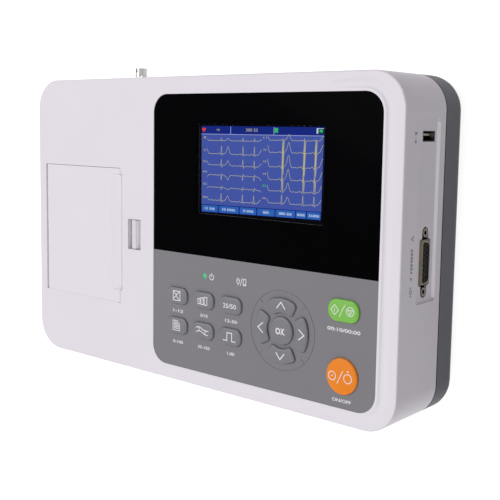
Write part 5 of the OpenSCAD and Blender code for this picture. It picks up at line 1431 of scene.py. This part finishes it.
@dataclass
class LatchGrip:
    """The finger bar of the latch: a rounded skin over its ridge.

    The profile gives distances from the window's left edge and heights over the face.
    """

    profile: tuple[Pair, ...] = (
        (3.0, -3.2), (3.12, -1.9), (3.4, -1.1), (3.9, -0.62), (4.6, -0.42), (5.6, -0.38), (6.6, -0.46), (7.6, -0.7),
        (8.5, -1.15), (9.2, -1.8), (9.65, -2.5), (9.85, -3.2))
    centre: Pair = (6.4, -3.2)
    window_x: float = -58.5
    half: float = 9.85
    end: float = 0.7
    steps: int = 7

    def build(self) -> None:
        """Makes the bar: the profile, carried along Y and drawn in at its ends by a quarter of an ellipse."""
        face = box_mm("paper_door")[1][2]
        middle = middle_mm("door_latch")[1]
        angle = np.linspace(0, math.pi / 2, self.steps)
        run = self.half - self.end * (1 - np.cos(angle))
        y = np.concatenate([-run, run[::-1]])
        grow = 0.72 + 0.28 * np.sin(np.concatenate([angle, angle[::-1]]))
        outline = np.array(self.profile)
        section = self.centre + (outline - self.centre) * grow[:, None, None]
        rings = np.stack([self.window_x + section[..., 0], middle + np.repeat(y[:, None], len(outline), axis=1),
                          face + section[..., 1]], axis=-1)
        shape = Shape()
        shape.tube(rings, rings[0].mean(axis=0), rings[-1].mean(axis=0))
        shape.build("latch_grip", LATCH_IVORY, "latch_grey", Crease.MOULDED, "latch")


@dataclass
class LatchSpring:
    """The latch's return spring: wound wire, which shortens as the latch slides towards its rib."""

    wire: float = 0.4
    turns: float = 6.0
    travel: float = 2.5
    steps: int = 150

    def build(self) -> None:
        """Makes the wire: a ring of points whose centre runs round X by the angle a and along X evenly.

        The centre is the coil's radius times (cos a, sin a) in Y and Z, and the ring lies in the plane of X and
        of the direction from the coil's middle to that centre.
        """
        low, high = box_mm("latch_spring")
        middle, coil = (low + high) / 2, (high[2] - low[2]) / 2 - self.wire
        share = np.linspace(0, 1, self.steps)
        angle = 2 * math.pi * self.turns * share
        out = np.stack([0 * angle, np.cos(angle), np.sin(angle)], axis=1)
        along = low[0] + self.wire + (high[0] - low[0] - 2 * self.wire) * share
        centre = coil * out + np.stack([along, middle[1] + 0 * share, middle[2] + 0 * share], axis=1)
        ring = np.linspace(0, 2 * math.pi, 10, endpoint=False)
        section = np.cos(ring)[:, None] * out[:, None, :] + np.sin(ring)[:, None] * np.array([-1.0, 0.0, 0.0])
        shape = Shape()
        shape.tube(centre[:, None, :] + self.wire * section, centre[0], centre[-1])
        piece = shape.build("latch_spring_coil", SPRING_STEEL, "spring_steel", Crease.ROUND)
        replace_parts(piece, "latch_spring")
        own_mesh(piece)


@dataclass
class SocketDetail:
    """Details of the side sockets: skirt of the lead socket, and tongue, contacts and spring of the data port.

    The tongue is given by the insets and the heights of its outlines.
    """

    floor_x: float = 156.1
    hole: Pair = (25.7, 10.5)
    shell: Pair = (24.7, 8.2)
    rim_x: float = 156.9
    root: float = 0.6
    lean: float = 10.0
    tongue: tuple[Pair, ...] = ((0.25, -0.66), (0.0, -0.5), (0.0, 0.5), (0.25, 0.66))
    tongue_shift: float = 0.25
    contact_rows: tuple[float, ...] = (-3.5, -1.0, 1.0, 3.5)

    def build(self) -> None:
        """Makes each detail."""
        self.build_skirt()
        self.build_port()

    def shell_outline(self, width: float, height: float, corner: float) -> np.ndarray:
        """Outline of the lead socket's shell: a rounded trapezium whose sides lean in by ten degrees.

        Each point of a rounded rectangle moves sideways by half the lean times its share of the height below
        the upper edge, towards the middle.

        Args:
            width: Width along the longer edge.
            height: Height.
            corner: Radius of the corners.

        Returns:
            Points, anticlockwise.
        """
        points = round_rect(width, height, corner, 8)[0]
        lean = height * math.tan(math.radians(self.lean))
        points[:, 0] *= 1 - 2 * lean / width * (0.5 - points[:, 1] / height)
        return points

    def build_skirt(self) -> None:
        """Makes the drawn skirt round the shell: it rises from the recess's floor to the shell's rim, in tin painted
        darker as shade.
        """
        _, y, z = middle_mm("lead_socket_shell")
        outer = round_rect(*self.hole, 2.0, 8)[0] + [0, 0.75]
        inner = self.shell_outline(*self.shell, 1.2)
        rise = self.rim_x - self.floor_x
        sections = [(outer + (inner - outer) * share, self.floor_x + 0.02 + rise * math.sin(share * math.pi / 2))
                    for share in np.linspace(0, 1, 7)]
        shape = Shape()
        shape.loft(sections + [(inner, self.floor_x - self.root), (outer, self.floor_x - self.root)])
        shape.turn(ON_WALL, (0, y, z))
        shape.build("lead_socket_skirt_painted_shade", SKIRT_SHADED_TIN, "tinned_shell", Crease.MOULDED)

    def build_port(self) -> None:
        """Makes the port's thin tongue with its four contacts, and the bright spring beside it."""
        low, high = box_mm("usb_tongue")
        points, normals = round_rect(high[0] - low[0], high[2] - low[2], 0.5, 4)
        tongue = Shape()
        tongue.loft([(points - inset * normals, height) for inset, height in self.tongue], np.zeros(2))
        x, y, z = (low + high) / 2
        place = (x, y - self.tongue_shift, z)
        tongue.turn(ON_SIDE, place)
        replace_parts(tongue.build("usb_tongue_blade", TONGUE_PBT, "tongue_grey", Crease.PRINT), "usb_tongue")
        contacts = Shape()
        for row in self.contact_rows:
            contacts.plate((7.5, 1.0), 0.2, (0.6, row), -0.72, 0.07)
        contacts.turn(ON_SIDE, place)
        contacts.build("usb_contacts", CUT_BRASS, "brass", Crease.PRINT)
        low, high = box_mm("usb_shell")
        spring = Shape()
        spring.plate((2.6, 3.8), 0.3, (high[0] - 1.4, (low[1] + high[1]) / 2), low[2] + 0.29, 0.12)
        spring.build("usb_spring", RUBBED_NICKEL, "nickel", Crease.PRINT)


# -------------------------------------------------------------------------------------------- studio

@dataclass
class Studio:
    """Pale floor, soft lamps, white surroundings and the camera."""

    key_watts: float = 41.0
    fill_watts: float = 2.45
    sky: float = 0.39
    floor_size: float = 3.0
    floor_glow: float = 0.86
    key_place: tuple[float, float, float] = (-1.1, 0.84, 2.3)
    fill_place: tuple[float, float, float] = (0.25, -0.8, 0.5)
    lens: float = 64.0
    eye: tuple[float, float, float] = (0.3989, 0.0649, 0.4791)
    turn: tuple[float, float, float] = (-5.7967, 40.1345, 1.1411)
    shift: Pair = (-0.00898, -0.04431)

    def build(self) -> None:
        """Sets up floor, world, lamps and camera."""
        self.build_floor()
        self.build_world()
        self.build_lamp("key_lamp", self.key_place, 1.8, self.key_watts)
        self.build_lamp("fill_lamp", self.fill_place, 0.4, self.fill_watts)
        self.build_camera()

    def seen(self, tree: Tree) -> Socket:
        """Returns one where the eye, a mirror or glass looks, and zero for light on its way to a surface."""
        path = add_node(tree, "ShaderNodeLightPath")
        mirror = add_node(tree, "ShaderNodeMath", {"operation": "MAXIMUM"},
                          {0: path.outputs["Is Camera Ray"], 1: path.outputs["Is Glossy Ray"]})
        return add_node(tree, "ShaderNodeMath", {"operation": "MAXIMUM"},
                        {0: mirror.outputs["Value"], 1: path.outputs["Is Transmission Ray"]}).outputs["Value"]

    def build_floor(self) -> None:
        """Makes the floor: matt white card that looks white where it is lit and keeps the shadow."""
        half = self.floor_size / 2
        mesh = bpy.data.meshes.new("floor")
        corners = [(-half, -half, 0), (half, -half, 0), (half, half, 0), (-half, half, 0)]
        mesh.from_pydata(corners, [], [(0, 1, 2, 3)])
        card = bpy.data.materials.new("studio_card_white")
        card.use_nodes = True
        tree = card.node_tree
        tree.nodes.clear()
        matt = add_node(tree, "ShaderNodeBsdfDiffuse", {"Color": linear("#B4B4B4")})
        glow = add_node(tree, "ShaderNodeEmission", {"Color": linear("#FFFFFF"), "Strength": self.floor_glow})
        lifted = add_node(tree, "ShaderNodeAddShader", links={
            0: matt.outputs["BSDF"], 1: glow.outputs["Emission"]})
        mixed = add_node(tree, "ShaderNodeMixShader", links={
            0: self.seen(tree), 1: matt.outputs["BSDF"], 2: lifted.outputs["Shader"]})
        add_node(tree, "ShaderNodeOutputMaterial", links={"Surface": mixed.outputs["Shader"]})
        mesh.materials.append(card)
        floor = bpy.data.objects.new("floor", mesh)
        bpy.context.scene.collection.objects.link(floor)

    def build_world(self) -> None:
        """Makes the surroundings: white to the eye and to mirrors, dimmer as a light."""
        world = bpy.data.worlds.new("studio")
        bpy.context.scene.world = world
        world.use_nodes = True
        tree = world.node_tree
        tree.nodes.clear()
        lamp = add_node(tree, "ShaderNodeBackground", {"Color": linear("#FBFAFF"), "Strength": self.sky})
        white = add_node(tree, "ShaderNodeBackground", {"Color": linear("#FFFFFF"), "Strength": 1.0})
        mixed = add_node(tree, "ShaderNodeMixShader", links={
            0: self.seen(tree), 1: lamp.outputs["Background"], 2: white.outputs["Background"]})
        add_node(tree, "ShaderNodeOutputWorld", links={"Surface": mixed.outputs["Shader"]})

    def build_lamp(self, name: str, place: tuple[float, float, float], size: float, watts: float) -> None:
        """Adds a square soft lamp that faces the machine.

        Args:
            name: Name of the lamp.
            place: Its place in metres.
            size: Its side in metres.
            watts: Its power.
        """
        light = bpy.data.lights.new(name, "AREA")
        light.size = size
        light.energy = watts
        lamp = bpy.data.objects.new(name, light)
        lamp.location = place
        lamp.rotation_euler = (Vector((0, 0, 0.05)) - Vector(place)).to_track_quat("-Z", "Y").to_euler()
        bpy.context.scene.collection.objects.link(lamp)

    def build_camera(self) -> None:
        """Adds the camera at its place, turned about X, Y and Z in that order by its three angles in degrees."""
        data = bpy.data.cameras.new("camera")
        data.sensor_width = 36.0
        data.lens = self.lens
        data.shift_x, data.shift_y = self.shift
        data.clip_start = 0.01
        camera = bpy.data.objects.new("camera", data)
        camera.location = self.eye
        camera.rotation_euler = [math.radians(angle) for angle in self.turn]
        bpy.context.scene.collection.objects.link(camera)
        bpy.context.scene.camera = camera


def dress_cad_nodes() -> None:
    """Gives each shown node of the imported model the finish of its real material."""
    for name, finish in CAD_FINISHES.items():
        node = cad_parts[name]
        if not node.material_slots:
            node.data.materials.append(None)
        for place in node.material_slots:
            place.material = finish.material()
        LOG.info("node %s: %s", name, finish.name)


def main() -> None:
    """Builds the machine's looks in order."""
    logging.basicConfig(level=logging.INFO, format="%(name)s: %(message)s")
    bpy.context.scene.view_settings.view_transform = "Standard"
    dress_cad_nodes()
    for part in (Window, Screen, Keypad, SideMarks, CaseTrim, LatchGrip, LatchSpring, SocketDetail, Studio):
        part().build()


if __name__ == "__main__":
    main()
